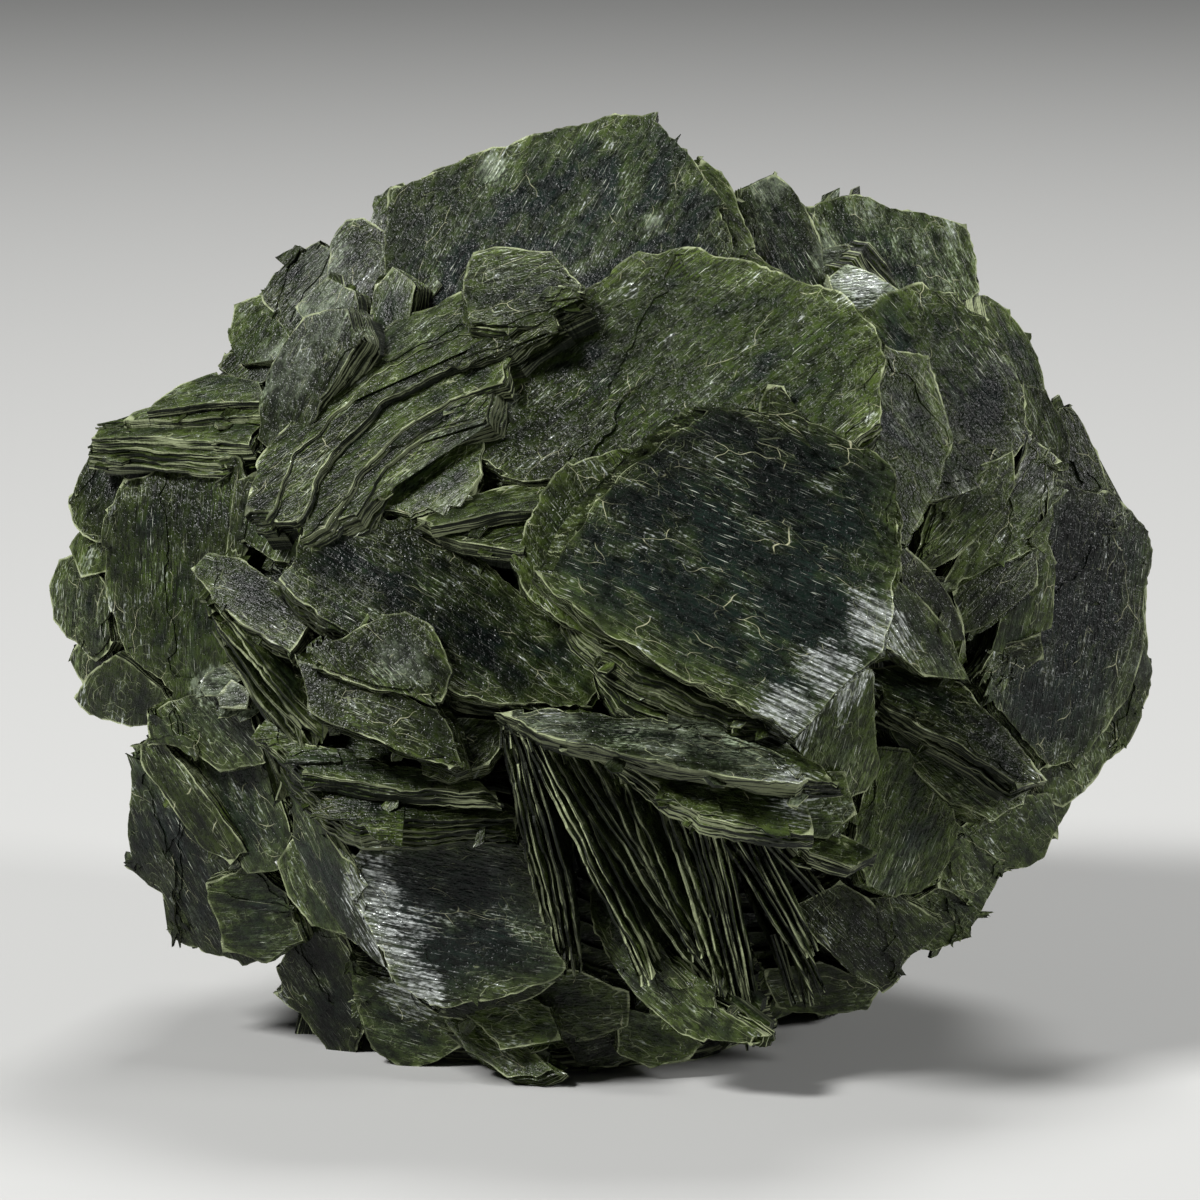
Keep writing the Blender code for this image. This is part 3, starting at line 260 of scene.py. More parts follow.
# %% The lower left
LOW_LEFT = [
    ("breast", 32.0, -8, -8, 3.5, -14, 0.05, 0.12, [(34.4, 85.4), (36.5, 83.4), (44, 83), (52.2, 83.4),
        (54, 89), (55.9, 94.5), (56.5, 97), (54.5, 98.6), (47, 100.3), (43, 101), (39.6, 98.7),
        (38.4, 95.2), (36, 92), (34.1, 88)]),
    ("breast_under", 28.0, -6, -10, 3.0, -20, 0.4, 0.15, [(38, 92), (50, 90), (56.4, 95), (56.4, 98),
        (52.4, 100), (48, 102.2), (43.6, 101.8)]),
    ("gill_1", 28.5, -42, -14, 2.6, -64, 0.25, 0.2, [(27.7, 78), (30, 78.6), (33.6, 84), (36, 87),
        (36.6, 92), (38.4, 98.6), (34, 94.6), (30, 89), (28, 84)]),
    ("gill_2", 25.5, -34, -8, 3.0, -62, 0.3, 0.15, [(27.6, 86.2), (29.4, 83.8), (32, 88), (34.8, 94),
        (31.4, 93), (28.8, 89.6)]),
    ("olive_bar", 20.5, -26, -10, 3.5, -58, 1.0, 0.0, [(13.8, 74.6), (15.5, 73.4), (18, 76), (21.4, 80.4),
        (24.4, 85.4), (23, 86.9), (20, 85.2), (16.5, 80.2), (14, 76.6)]),
    ("flank_low", 14.0, -32, -18, 5.0, -70, 0.35, 0.08, [(12, 74.6), (15.5, 74), (20, 79), (25, 86),
        (28, 90), (28, 95.4), (24, 96.9), (20, 95.9), (16.5, 94.1), (14.9, 89.6), (12, 87.4), (11.2, 83)]),
    ("flank_dark", 22.5, -30, -6, 3.0, -58, 0.1, 0.04, [(19, 74), (24, 70.5), (27, 76), (29.6, 83),
        (28.6, 86.6), (24.5, 87), (20.6, 81)]),
    ("flank_knob", 18.0, -22, -24, 4.0, 10, 0.55, 0.3, [(20.4, 88.4), (25, 86.4), (29, 89), (31, 94.4),
        (27, 96.6), (22, 95.4)]),
    ("flank_ledge", 24.0, -26, -8, 4.0, -50, 0.4, 0.1, [(14, 71), (20, 68.6), (26, 70), (27, 76),
        (22, 77.4), (19, 75), (14.6, 74.4)]),
    ("foot_left", 14.0, -25, -24, 5.0, -68, 0.5, 0.1, [(26.8, 96.6), (29, 90.6), (34, 93), (36.4, 98),
        (36.6, 103), (35, 105.8), (32.4, 105.9), (29.6, 101.6), (27.2, 99.4)]),
    ("foot_middle", 19.0, -10, -18, 4.0, -20, 0.45, 0.2, [(34.5, 96), (39, 97), (44, 101), (46.4, 104.4),
        (44, 106.2), (40.4, 107.2), (37, 105), (35, 101)]),
]
print("lower left:", len(LOW_LEFT))

# %% [markdown]
# ## The base
# Small crystals stand in a row along the ground, the toes in the middle and the heels on the right.

# %% The base
BASE = [
    ("toe_1", 25.0, -18, 14, 2.4, -30, 0.6, 0.15, [(43, 100.4), (48, 101), (53, 105), (56, 107.4),
        (54, 108.4), (51, 108.1), (47, 105.4)]),
    ("toe_2", 27.5, -6, 6, 2.4, -10, 0.55, 0.2, [(45.6, 101.4), (51, 99), (55, 100.6), (56, 104),
        (50, 105)]),
    ("toe_3", 25.5, 0, -6, 2.6, 0, 0.6, 0.2, [(52.4, 99.4), (57, 97), (62.8, 99.4), (62.6, 102.6),
        (58.4, 104), (55, 102.6)]),
    ("toe_4", 22.0, 6, -14, 3.0, 10, 0.6, 0.2, [(55.6, 103), (61, 102), (65, 104.4), (62.4, 107),
        (58, 107)]),
    ("toe_5", 24.0, 10, -8, 3.0, -20, 0.6, 0.2, [(62, 100.4), (67, 101.6), (70.6, 104.3), (69, 106),
        (65, 107), (61.6, 105.4)]),
    ("toe_6", 21.0, -6, -12, 3.0, -30, 0.6, 0.1, [(44.6, 103.6), (50, 102), (52, 106), (48, 106.2)]),
    ("heel_1", 21.0, 4, -20, 3.5, 0, 0.6, 0.15, [(76, 97.4), (82, 96.4), (88.4, 98.6), (86.6, 101),
        (82, 101.9), (77.4, 101)]),
    ("heel_2", 27.0, 8, -10, 3.5, -50, 0.65, 0.1, [(79, 91), (84, 88), (88, 91), (90.8, 95.4), (90, 98),
        (88.2, 99.3), (85, 97.8), (81.4, 94.6)]),
]
print("base:", len(BASE))

# %% [markdown]
# ## The right side
# The right side is scales that overlap, a dark wing that sticks out and a hem below. The last table
# has the one leaf of the fan that shows its face.

# %% The right side
RIGHT = [
    ("shoulder", 24.0, 26, 22, 4.5, -62, 0.6, 0.1, [(84.6, 32), (88.6, 29.4), (92.5, 28.2), (96, 28.7),
        (99.5, 31), (102, 34.5), (103.6, 38), (104, 43), (101, 47), (96, 49), (91, 51), (87, 44)]),
    ("shoulder_edge", 15.5, 46, 16, 4.0, -62, 0.6, 0.1, [(98.4, 29.4), (101.3, 30.8), (104, 35.6),
        (105.4, 40), (105.4, 44), (102, 43), (99.4, 36)]),
    ("shoulder_low", 18.5, 48, 8, 3.5, -60, 0.6, 0.1, [(102.4, 38), (104.6, 38.6), (107.2, 43), (107, 47),
        (104.6, 47), (102.2, 43)]),
    ("scale_1", 27.5, 18, 2, 2.6, 38, 0.65, 0.1, [(91.6, 55.6), (93.6, 49.6), (97, 46), (101.4, 44.4),
        (102.2, 48), (99.6, 52), (96, 55.4), (93, 57)]),
    ("scale_2", 25.5, 24, 4, 2.6, 40, 0.65, 0.1, [(94.6, 58.6), (98, 52), (102, 47.4), (103.4, 43.4),
        (106.6, 46), (106.2, 52), (104, 55.4), (100, 57), (96.5, 59)]),
    ("scale_3", 24.5, 22, 0, 2.6, 36, 0.65, 0.1, [(96.4, 63.9), (95.4, 59), (99, 56), (104.6, 52.6),
        (104.6, 58.5), (101, 61.6), (98.5, 63.2)]),
    ("slat", 20.5, 30, -4, 3.0, 74, 0.6, 0.12, [(99, 66), (101, 58), (105, 53.8), (106.2, 56), (105.6, 63),
        (103.6, 66)]),
    ("lip", 21.0, 14, -10, 2.6, 8, 0.7, 0.25, [(97.8, 67.6), (99, 65), (104.2, 63.4), (104.6, 66),
        (102.4, 67.6), (100, 68.6)]),
    ("wing", 17.5, 30, 0, 4.5, 72, 0.1, 0.03, [(102.4, 53), (105.6, 48), (111, 49.2), (115.1, 53),
        (115.3, 55), (114.2, 65), (112.6, 70.2), (108, 77), (104, 78.4), (99, 72.6), (96.6, 68.4),
        (101, 62)]),
    ("wing_back", 12.5, 38, -6, 4.0, -64, 0.7, 0.2, [(111, 52), (115, 57), (114.8, 65.4), (115.6, 66.9),
        (115.2, 69.6), (112.8, 74), (108.6, 79), (106.6, 80.6), (103.4, 79), (106, 68)]),
    ("wing_top", 15.0, 38, 14, 3.5, -62, 0.6, 0.08, [(104.8, 40.6), (107, 39.7), (109.5, 44.5),
        (111.3, 49.4), (113.6, 51.6), (108, 52), (104.6, 48)]),
    ("keel", 37.0, 18, -12, 2.6, 70, 0.85, 0.02, [(78.6, 74), (84, 67), (87.4, 67), (88, 76.4),
        (86.8, 79.2), (85, 80.1), (82, 79)]),
    ("crumb", 38.0, 8, 2, 3.5, 0, 0.6, 0.25, [(79.6, 77), (84.6, 77.2), (85.8, 81.4), (83, 84),
        (80.2, 83.4)]),
    ("splint", 37.0, 14, 42, 1.8, -20, 0.5, 0.2, [(78.4, 82.6), (84, 83.4), (87.8, 85.2), (85, 86.6),
        (81, 85.4)]),
    ("vane_1", 33.0, 20, -6, 2.4, -58, 0.45, 0.1, [(88.4, 56.8), (91.6, 59.4), (95.2, 63), (97.4, 68.4),
        (93, 68), (88.6, 65)]),
    ("vane_2", 30.5, 28, -4, 2.4, -58, 0.5, 0.1, [(89.6, 53.6), (93.6, 57.6), (96.2, 62), (97, 66.4),
        (93.6, 64), (90, 59)]),
    ("ramp_top", 32.0, 16, 30, 2.6, -36, 0.45, 0.12, [(86.2, 66.6), (90, 66.2), (96, 68.3), (99, 71.4),
        (102.6, 75.4), (105, 77.6), (102, 78.6), (96, 75), (88, 70.4)]),
    ("ramp", 29.0, 14, 4, 3.0, -40, 0.4, 0.08, [(87.4, 69.6), (94, 71.6), (100, 75.8), (103, 78),
        (102.4, 80.4), (99, 82.2), (95, 81), (90, 76)]),
    ("hip", 29.5, 16, -6, 3.6, 64, 0.7, 0.02, [(87.6, 74.6), (91, 74.9), (93.6, 77), (96, 80.6),
        (97.2, 83), (96.2, 86), (95.2, 88.7), (92.8, 89.8), (90, 90.4), (86.6, 89), (85.4, 84), (86, 78)]),
    ("hem_1", 18.0, 28, -10, 4.5, -50, 0.6, 0.1, [(95, 84), (100, 80), (105.6, 79.4), (106.5, 83.8),
        (104.8, 86), (102.8, 87.3), (100, 87.4), (97.4, 91), (94, 89)]),
    ("hem_2", 18.5, 24, -20, 4.0, -45, 0.65, 0.12, [(94, 88.6), (98.6, 86), (101.4, 87), (99, 91.4),
        (96.6, 94.6), (94, 95.8), (91, 95.1), (90, 91)]),
    ("hem_3", 23.0, 16, -18, 3.5, -50, 0.65, 0.12, [(85.6, 90), (90, 89.4), (95, 92.6), (93, 94.8),
        (91.4, 95.4), (89.6, 97.4), (88, 98.6), (85, 96)]),
    ("hem_top", 13.5, 38, -12, 4.0, -50, 0.6, 0.2, [(103, 78), (106, 76.6), (109, 78.6), (107.6, 80.4),
        (106.2, 83), (103, 84)]),
]
FAN = [
    ("fan_leaf", 31.5, -24, -6, 2.4, -40, 0.5, 0.1, [(58.4, 88.6), (60.6, 88), (65, 94), (70.4, 99.4),
        (76.4, 103.8), (76, 105.3), (70.6, 104.8), (66, 102), (62, 97.6), (59, 93.6)]),
]
print("crystals of the front:", sum(len(rows) for rows in (CROWN, BROW, FRONT, ROOF, LEFT, LOW_LEFT,
                                                           BASE, RIGHT, FAN)))

# %% [markdown]
# ## The blades of the fan
# Under the tongue a book has sprung open, and its blades are seen on their edges. An outline in the
# view would be a mere sliver, so a blade is given by the two ends of its edge, how far each end stands
# out, how the blade rolls round its edge, its thickness and how deep it runs into the rosette.

# %% The blades of the fan
BLADES = [
    ("fan_1", (50.8, 73), (56.2, 97.2), 41, 31, 24, 1.6, 14),
    ("fan_2", (51.2, 72), (57.4, 96), 42, 32, 16, 1.3, 15),
    ("fan_3", (51.8, 72.4), (58.6, 97.4), 42.5, 30, 10, 1.3, 16),
    ("fan_4", (52.6, 72.8), (65.8, 98.4), 43, 33, 16, 1.5, 16),
    ("fan_5", (54, 73.6), (67.8, 99.4), 42, 31, 22, 1.3, 16),
    ("fan_6", (55.4, 74), (73, 100.2), 41, 31, 26, 1.4, 17),
    ("fan_7", (58.6, 75), (74.4, 104), 40, 29, 30, 1.6, 18),
    ("fan_8", (61, 76), (70.6, 96), 39.5, 33, 34, 1.3, 16),
    ("fan_9", (64, 77), (71.6, 92), 39.5, 34, 30, 1.3, 15),
    ("fan_10", (67.4, 80.6), (73.6, 100), 39, 31, 20, 1.4, 16),
    ("fan_11", (69.8, 81.6), (75.4, 103.6), 39, 29, 12, 1.4, 16),
    ("fan_12", (71.6, 82), (76.4, 104.9), 39, 28.5, 4, 1.6, 17),
    ("fan_13", (73.4, 84), (82.9, 99.2), 38, 28, 10, 1.4, 15),
    ("fan_14", (75, 83.2), (81.6, 95.6), 38, 31, 8, 1.3, 13),
    ("fan_15", (76.6, 83.4), (82.6, 89.8), 38, 34, 8, 1.2, 12),
    ("fan_16", (77.8, 93.6), (79.8, 100.4), 30, 25, -6, 1.3, 10),
    ("fan_17", (80.6, 95.6), (81.2, 100.6), 29, 25, -10, 1.3, 10),
    ("whisker_1", (20.4, 60.4), (32.6, 74), 33, 35, 40, 1.3, 12),
    ("whisker_2", (21.4, 62.6), (31.4, 75.4), 31, 34, 40, 1.2, 12),
    ("whisker_3", (22.4, 65), (29.6, 77.4), 30, 32, 40, 1.2, 12),
    ("whisker_4", (24.6, 70.4), (28, 80.6), 28, 29, 30, 1.2, 10),
]
print("blades:", len(BLADES))

# %% [markdown]
# ## One crystal
# A crystal is kept as its outline in its own plane: x runs along its grain, y across and z outward, in
# millimetres, with zero at the front face. A matrix carries it to its place in the rosette. The root
# of a crystal leads back towards the middle of the rosette, so that direction is kept as well. Each
# crystal bends back a little at its rims, and its leaves are terraced towards one side of it.

# %% One crystal
ROSETTE_MIDDLE = Vector((0.0, 0.0, 0.0460))
BEND = (0.3, 0.9)
STIFF_SHARE = 0.2
CURL = (0.5, 1.5)
SWELL = 0.6
SWELL_SCALE = 0.14
ARCH_REACH = 0.8
SLIDE = (0.5, 2.0)
FULL_SIZE = 14.0
WIDEST_OFFSET = 400.0

dice = random.Random(5)


class Crystal:
    """A crystal's outline in its own plane, its place in the rosette and the looks of its faces."""

    def __init__(self, name, outline, normal, thickness, along, green, pale):
        self.name = name
        self.thickness = thickness / MM
        self.green, self.pale = green, pale
        middle = sum(outline, Vector()) / len(outline)
        along = (along - normal * along.dot(normal)).normalized()
        across = normal.cross(along)
        self.place = Matrix((along * MM, across * MM, normal * MM)).transposed().to_4x4()
        self.place.translation = middle
        to_plane = self.place.inverted()
        self.corners = [(to_plane @ point).to_2d() for point in outline]
        area = sum(self.wedges()) / 2
        if area < 0.0:
            self.corners.reverse()
        self.open_to_middle = min(self.wedges()) > 0.0
        self.size = math.sqrt(abs(area))
        self.give = min(1.0, self.size / FULL_SIZE)
        inward = ROSETTE_MIDDLE - middle
        self.inward = to_plane.to_3x3() @ (inward.normalized() * MM)
        self.bend = dice.uniform(*BEND) * self.give * (1.0 if self.open_to_middle else STIFF_SHARE)
        self.curl = dice.uniform(*CURL)
        side = dice.uniform(0.0, math.tau)
        self.slide = Vector((math.cos(side), math.sin(side))) * dice.uniform(*SLIDE) * self.give
        self.offset = Vector([dice.uniform(0.0, WIDEST_OFFSET) for _ in range(3)])

    def wedges(self):
        """Twice the areas of the wedges from the middle to each side of the outline."""
        return [start.cross(end) for start, end in zip(self.corners, self.corners[1:] + self.corners[:1])]

    def lift(self, x, y):
        """How far the leaves stand off their plane at a place: they bend back and swell."""
        swell = noise.noise(Vector((x, y, 0.0)) * SWELL_SCALE + self.offset)
        arch = self.curl * x * x + (2.0 - self.curl) * y * y
        return self.bend * (SWELL * swell - arch / (ARCH_REACH * self.size) ** 2)


print("rims bend back by", BEND, "mm")

# %% [markdown]
# ## The broken rim of a leaf
# A leaf of chlorite breaks in short straight steps along its crystal directions, with splinters out of
# it. The rim is walked in steps of under a millimetre, and each point is pushed in or out by a coarse
# noise in jumps and a fine one without. The noise is read in space, so the rims of leaves that lie on
# each other break alike. A displacement modifier would round the steps off.

# %% The broken rim of a leaf
NOTCH_SCALE = 0.33
NOTCHES = 5.0
NOTCH_DEPTH = 0.75
SPLINTER_SCALE = 1.6
SPLINTER_DEPTH = 0.22
LEAF_TO_LEAF = 1.4
MOST_PROUD = 0.25


def broken_rim(crystal, corners, depth, inset, slide, step, ragged=1.0):
    """The ragged outline of a leaf so deep in a crystal, pushed in by the inset and the slide."""
    rim = []
    for start, end in zip(corners, corners[1:] + corners[:1]):
        side = end - start
        outward = Vector((side.y, -side.x)).normalized()
        steps = max(1, round(side.length / step))
        for index in range(steps):
            point = start.lerp(end, index / steps)
            where = Vector((point.x, point.y, depth * LEAF_TO_LEAF)) + crystal.offset
            notch = round(noise.noise(where * NOTCH_SCALE) * NOTCHES) / NOTCHES
            splinter = noise.noise(where * SPLINTER_SCALE)
            push = (NOTCH_DEPTH * notch * ragged + SPLINTER_DEPTH * splinter) * crystal.give
            rim.append(point + outward * (min(push, MOST_PROUD) - inset - max(0.0, outward.dot(slide))))
    return rim


print("notches", NOTCH_DEPTH, "mm and splinters", SPLINTER_DEPTH, "mm deep")

# %% [markdown]
# ## Faces of a leaf
# A leaf starts as one flat face inside its rim. Where it shows, it is cut by rows of planes into a net
# of small cells, so that it can bend; a grid trimmed to the outline would do too, but its rim would be
# jagged. Where another leaf covers it, it stays one face, and its middle is sunk a little, so that it
# can't come through a hollow of the leaf above.

# %% Faces of a leaf
FREE_RIM, COVERED_RIM = -1.0, -2.0
SINK = 0.7
NET_TOLERANCE = 1e-5


def grow(bm, face, offset):
    """Extrude a face along an offset and return the new face."""
    region = bmesh.ops.extrude_face_region(bm, geom=[face, *face.edges, *face.verts])["geom"]
    moved = [part for part in region if isinstance(part, bmesh.types.BMVert)]
    bmesh.ops.translate(bm, vec=offset, verts=moved)
    return next(part for part in region if isinstance(part, bmesh.types.BMFace))


def sink(bm, crystal, faces):
    """Draw the middles of hidden faces inward, so that they stay below the leaf that covers them."""
    if crystal.open_to_middle:
        for vert in bmesh.ops.poke(bm, faces=faces)["verts"]:
            vert.co.z = min(vert.co.z, vert.co.z + crystal.lift(vert.co.x, vert.co.y)) - SINK * crystal.bend
            vert[bm.verts.layers.float["rim"]] = COVERED_RIM


def netted(bm, face, cell):
    """Cut a face into a net of cells and return everything in it."""
    places = [vert.co.copy() for vert in face.verts]
    geom = [face, *face.edges, *face.verts]
    for axis in (Vector((1.0, 0.0, 0.0)), Vector((0.0, 1.0, 0.0))):
        low, high = min(place.dot(axis) for place in places), max(place.dot(axis) for place in places)
        rows = max(1, int((high - low) / cell))
        for row in range(rows):
            at = low + (high - low) * (row + 0.5) / rows
            geom = bmesh.ops.bisect_plane(bm, geom=geom, dist=NET_TOLERANCE, plane_co=axis * at,
                                          plane_no=axis)["geom"]
    return geom


print("hidden faces are sunk by", SINK, "of their bend")

# %% [markdown]
# ## One leaf
# A leaf must be a closed solid. A covered one is its face extruded down. In one that shows, the border
# of the net is drawn down by the leaf's thickness and filled below. The rim layer notes which corners
# are free and which are covered, because the finish paints the light that comes through a rim only at a free
# rim.

# %% One leaf


def add_leaf(bm, crystal, rim, top, thickness, cell=None, page=False):
    """Add one closed leaf inside a rim, with its front face at a height of the crystal."""
    rim_layer = bm.verts.layers.float["rim"]
    face = bm.faces.new([bm.verts.new((point.x, point.y, 0.0)) for point in rim])
    if cell is None:
        for vert in face.verts:
            vert[rim_layer] = COVERED_RIM
            vert.co.z = top + crystal.lift(vert.co.x, vert.co.y)
        sink(bm, crystal, [face, grow(bm, face, (0.0, 0.0, -thickness))])
        return
    geom = netted(bm, face, cell)
    for part in geom:
        if isinstance(part, bmesh.types.BMVert):
            part.co.z = top + crystal.lift(part.co.x, part.co.y)
            if part.is_boundary and not page:
                part[rim_layer] = FREE_RIM
    border = [part for part in geom if isinstance(part, bmesh.types.BMEdge) and part.is_boundary]
    drawn = bmesh.ops.extrude_edge_only(bm, edges=border)["geom"]
    low = [part for part in drawn if isinstance(part, bmesh.types.BMVert)]
    for vert in low:
        vert[rim_layer] = COVERED_RIM
    bmesh.ops.translate(bm, vec=(0.0, 0.0, -thickness), verts=low)
    below = bmesh.ops.holes_fill(bm, edges=[part for part in drawn if isinstance(part, bmesh.types.BMEdge)],
                                 sides=0)["faces"]
    sink(bm, crystal, below)


print("a leaf is closed by its own rim, drawn down")

# %% [markdown]
# ## Broken sheets
# Broad crystals carry a broken sheet or two on their face, as a book does that has lost part of its
# first pages. Each sheet is what is left of the one below after one more straight break, so the
# outline is clipped by a line. Front crystals get finer leaves, steps and cells than hidden ones.

# %% Broken sheets
FINE = {"step": 0.55, "leaf": 0.40, "cell": 1.0, "pages": 3, "root_leaves": 8, "root_step": 1.8}
COARSE = {"step": 0.9, "leaf": 0.55, "cell": 1.7, "pages": 2, "root_leaves": 5, "root_step": 2.6}
PAGE_FROM = 8.0
PAGE = 0.15
PAGE_INSET = (0.3, 1.2)
PAGE_SHARE = (-0.35, 0.25)
PAGE_RAGGED = 3.0
PAGE_TURN = 0.7
PAGE_TO_PAGE = 2.0
PAGE_OVERLAP = 1.5


def clipped(corners, direction, limit):
    """The part of an outline that lies less far than a limit in a direction."""
    kept = []
    for start, end in zip(corners, corners[1:] + corners[:1]):
        before, after = start.dot(direction) - limit, end.dot(direction) - limit
        if before <= 0.0:
            kept.append(start)
        if before * after < 0.0:
            kept.append(start.lerp(end, before / (before - after)))
    return kept


def add_pages(bm, crystal, fineness):
    """Add the last of the broken sheets that once covered a crystal's face, each on a part of it."""
    corners = crystal.corners
    for page in range(fineness["pages"] if crystal.size > PAGE_FROM else 0):
        turn = dice.choice((-1.0, 1.0)) * math.pi / 2 + dice.uniform(-PAGE_TURN, PAGE_TURN)
        direction = Vector((math.cos(turn), math.sin(turn)))
        corners = clipped(corners, direction, crystal.size * dice.uniform(*PAGE_SHARE))
        if len(corners) < 3:
            break
        inset = dice.uniform(*PAGE_INSET) * crystal.give
        rim = broken_rim(crystal, corners, -PAGE_TO_PAGE * page, inset, crystal.slide, fineness["step"],
                         PAGE_RAGGED)
        add_leaf(bm, crystal, rim, PAGE * (page + 1), PAGE * PAGE_OVERLAP, fineness["cell"], page=True)


print("sheets of", PAGE, "mm on crystals from", PAGE_FROM, "mm")

# %% [markdown]
# ## The root
# Below its book a crystal goes on towards the middle of the rosette in thicker leaves that narrow on
# the way. They are seen only down in the gaps, so they get few corners.

# %% The root
ROOT_DEPTH = 18.0
ROOT_SHARE = 0.62
ROOT_INSETS = (-0.1, 0.7)
LEAST_DOWN = 0.08
ROOT_OVERLAP = 1.1


def add_root(bm, crystal, fineness):
    """Add the thicker leaves behind a crystal, which narrow towards the middle of the rosette."""
    leaves = fineness["root_leaves"]
    down = min(crystal.inward.z, -LEAST_DOWN) * ROOT_DEPTH / leaves
    for index in range(leaves):
        share = (index + 0.5) / leaves
        narrow = 1.0 - (1.0 - ROOT_SHARE) * share
        shift = crystal.inward.to_2d() * ROOT_DEPTH * share
        inset = dice.uniform(*ROOT_INSETS) * crystal.give
        rim = broken_rim(crystal, crystal.corners, crystal.thickness + index, inset, Vector((0.0, 0.0)),
                         fineness["root_step"])
        face = bm.faces.new([bm.verts.new((point * narrow + shift).to_3d()) for point in rim])
        for vert, point in zip(face.verts, rim):
            vert[bm.verts.layers.float["rim"]] = COVERED_RIM
            vert.co.z = down * index - crystal.thickness + crystal.lift(point.x, point.y)
        grow(bm, face, (0.0, 0.0, down * ROOT_OVERLAP))


print("roots go", ROOT_DEPTH, "mm deep")

# %% [markdown]
# ## A book of leaves
# A crystal is a stack of leaves a little under half a millimetre thick. Each wanders in or out from the
# one above, which gives the rim its fine lines, and all of them are terraced towards one side.

# %% A book of leaves
WANDER = (-0.3, 0.34)
WANDER_LIMITS = (-0.15, 0.75)
OVERLAP = 1.03
FEWEST_LEAVES = 3


def add_book(bm, crystal, fineness, with_root=True):
    """Add all the leaves of a crystal, in the crystal's own plane."""
    count = max(FEWEST_LEAVES, round(crystal.thickness / fineness["leaf"]))
    pitch = crystal.thickness / count
    wander = 0.0
    for index in range(count):
        wander = min(max(wander + dice.uniform(*WANDER) * crystal.give, WANDER_LIMITS[0]), WANDER_LIMITS[1])
        slide = crystal.slide * (1.0 - index / (count - 1))
        rim = broken_rim(crystal, crystal.corners, index * pitch, wander, slide, fineness["step"])
        add_leaf(bm, crystal, rim, -index * pitch, pitch * OVERLAP, fineness["cell"] if index == 0 else None)
    add_pages(bm, crystal, fineness)
    if with_root:
        add_root(bm, crystal, fineness)


print("leaves of", FINE["leaf"], "mm in front and", COARSE["leaf"], "mm behind")

# %% [markdown]
# ## What the finish needs to know
# The finish follows each crystal: its grain, how near a place is to the rim and how deep it lies,
# which sets the painted shade in the gaps, how green and pale it is, and how much painted silvery
# sheen it has. The mesh carries these in layers. Object coordinates alone could not tell one crystal
# from the next.

# %% What the finish needs to know
RIM_WIDTH = 6.0


def new_leaves():
    """An empty bmesh with the layers that every crystal carries."""
    bm = bmesh.new()
    bm.verts.layers.float.new("rim")
    bm.verts.layers.float_vector.new("grain")
    bm.verts.layers.float_vector.new("looks")
    bm.faces.layers.float.new("edge")
    return bm


def rim_distances(places, corners):
    """How far places in a crystal's plane lie from its outline, in millimetres."""
    nearest = np.full(len(places), RIM_WIDTH)
    for start, end in zip(corners, corners[1:] + corners[:1]):
        start, side = np.array(start), np.array(end - start)
        along = np.clip((places - start) @ side / (side @ side), 0.0, 1.0)
        nearest = np.minimum(nearest, np.linalg.norm(places - start - along[:, None] * side, axis=1))
    return nearest


print("rims are followed for", RIM_WIDTH, "mm")

# %% [markdown]
# ## Silvery and whitish places
# Here and there the leaves look silvery: a sheen is painted into their colour there, with a little
# metallic gloss. Elsewhere the rims are crumbly and whitish.
# These places are spots in the front view: right, down and radius in millimetres.

# %% Silvery and whitish places
SPOT_FADE = 1.6
SHEEN_SPOTS = [(79.0, 71.5, 3.0), (84.0, 67.5, 3.4), (88.0, 62.5, 3.2), (37.5, 89.0, 3.4), (39.5, 94.0, 3.6),
                (42.0, 98.5, 3.0), (86.5, 28.5, 2.0), (79.5, 79.5, 2.4)]
PALE_SPOTS = [(28.3, 57.5, 0.8), (114.6, 66.5, 1.4), (33.0, 26.0, 2.0), (32.0, 31.0, 2.4), (65.5, 22.2, 0.8),
              (50.5, 40.5, 1.2), (40.0, 66.0, 2.2), (28.0, 37.0, 2.4), (46.2, 71.5, 0.9), (42.5, 67.5, 0.9),
              (21.0, 68.5, 1.8), (48.0, 43.0, 1.4), (82.5, 25.5, 1.2), (49.0, 17.0, 1.2), (77.0, 18.0, 1.6)]


def spotted(seen, spots):
    """How much of a spot lies on each place in the front view, from 0 to 1."""
    amount = np.zeros(len(seen))
    for right, down, radius in spots:
        away = np.hypot(seen[:, 0] - right, seen[:, 1] - down) / radius
        amount = np.maximum(amount, np.clip(SPOT_FADE - away, 0.0, 1.0))
    return amount


print(len(SHEEN_SPOTS), "silvery and", len(PALE_SPOTS), "whitish places")

# %% [markdown]
# ## Mark a crystal
# A covered corner counts as close to the rim, and the deeper it lies, the darker it is painted, as shade
# in the gaps. A face that stands on edge is a broken rim, and the others are basal faces.

# %% Mark a crystal
COVERED_VALUE = 0.07
FIRST_DEEP = 0.25
DEEP_FROM = 0.3
ON_EDGE = 0.5


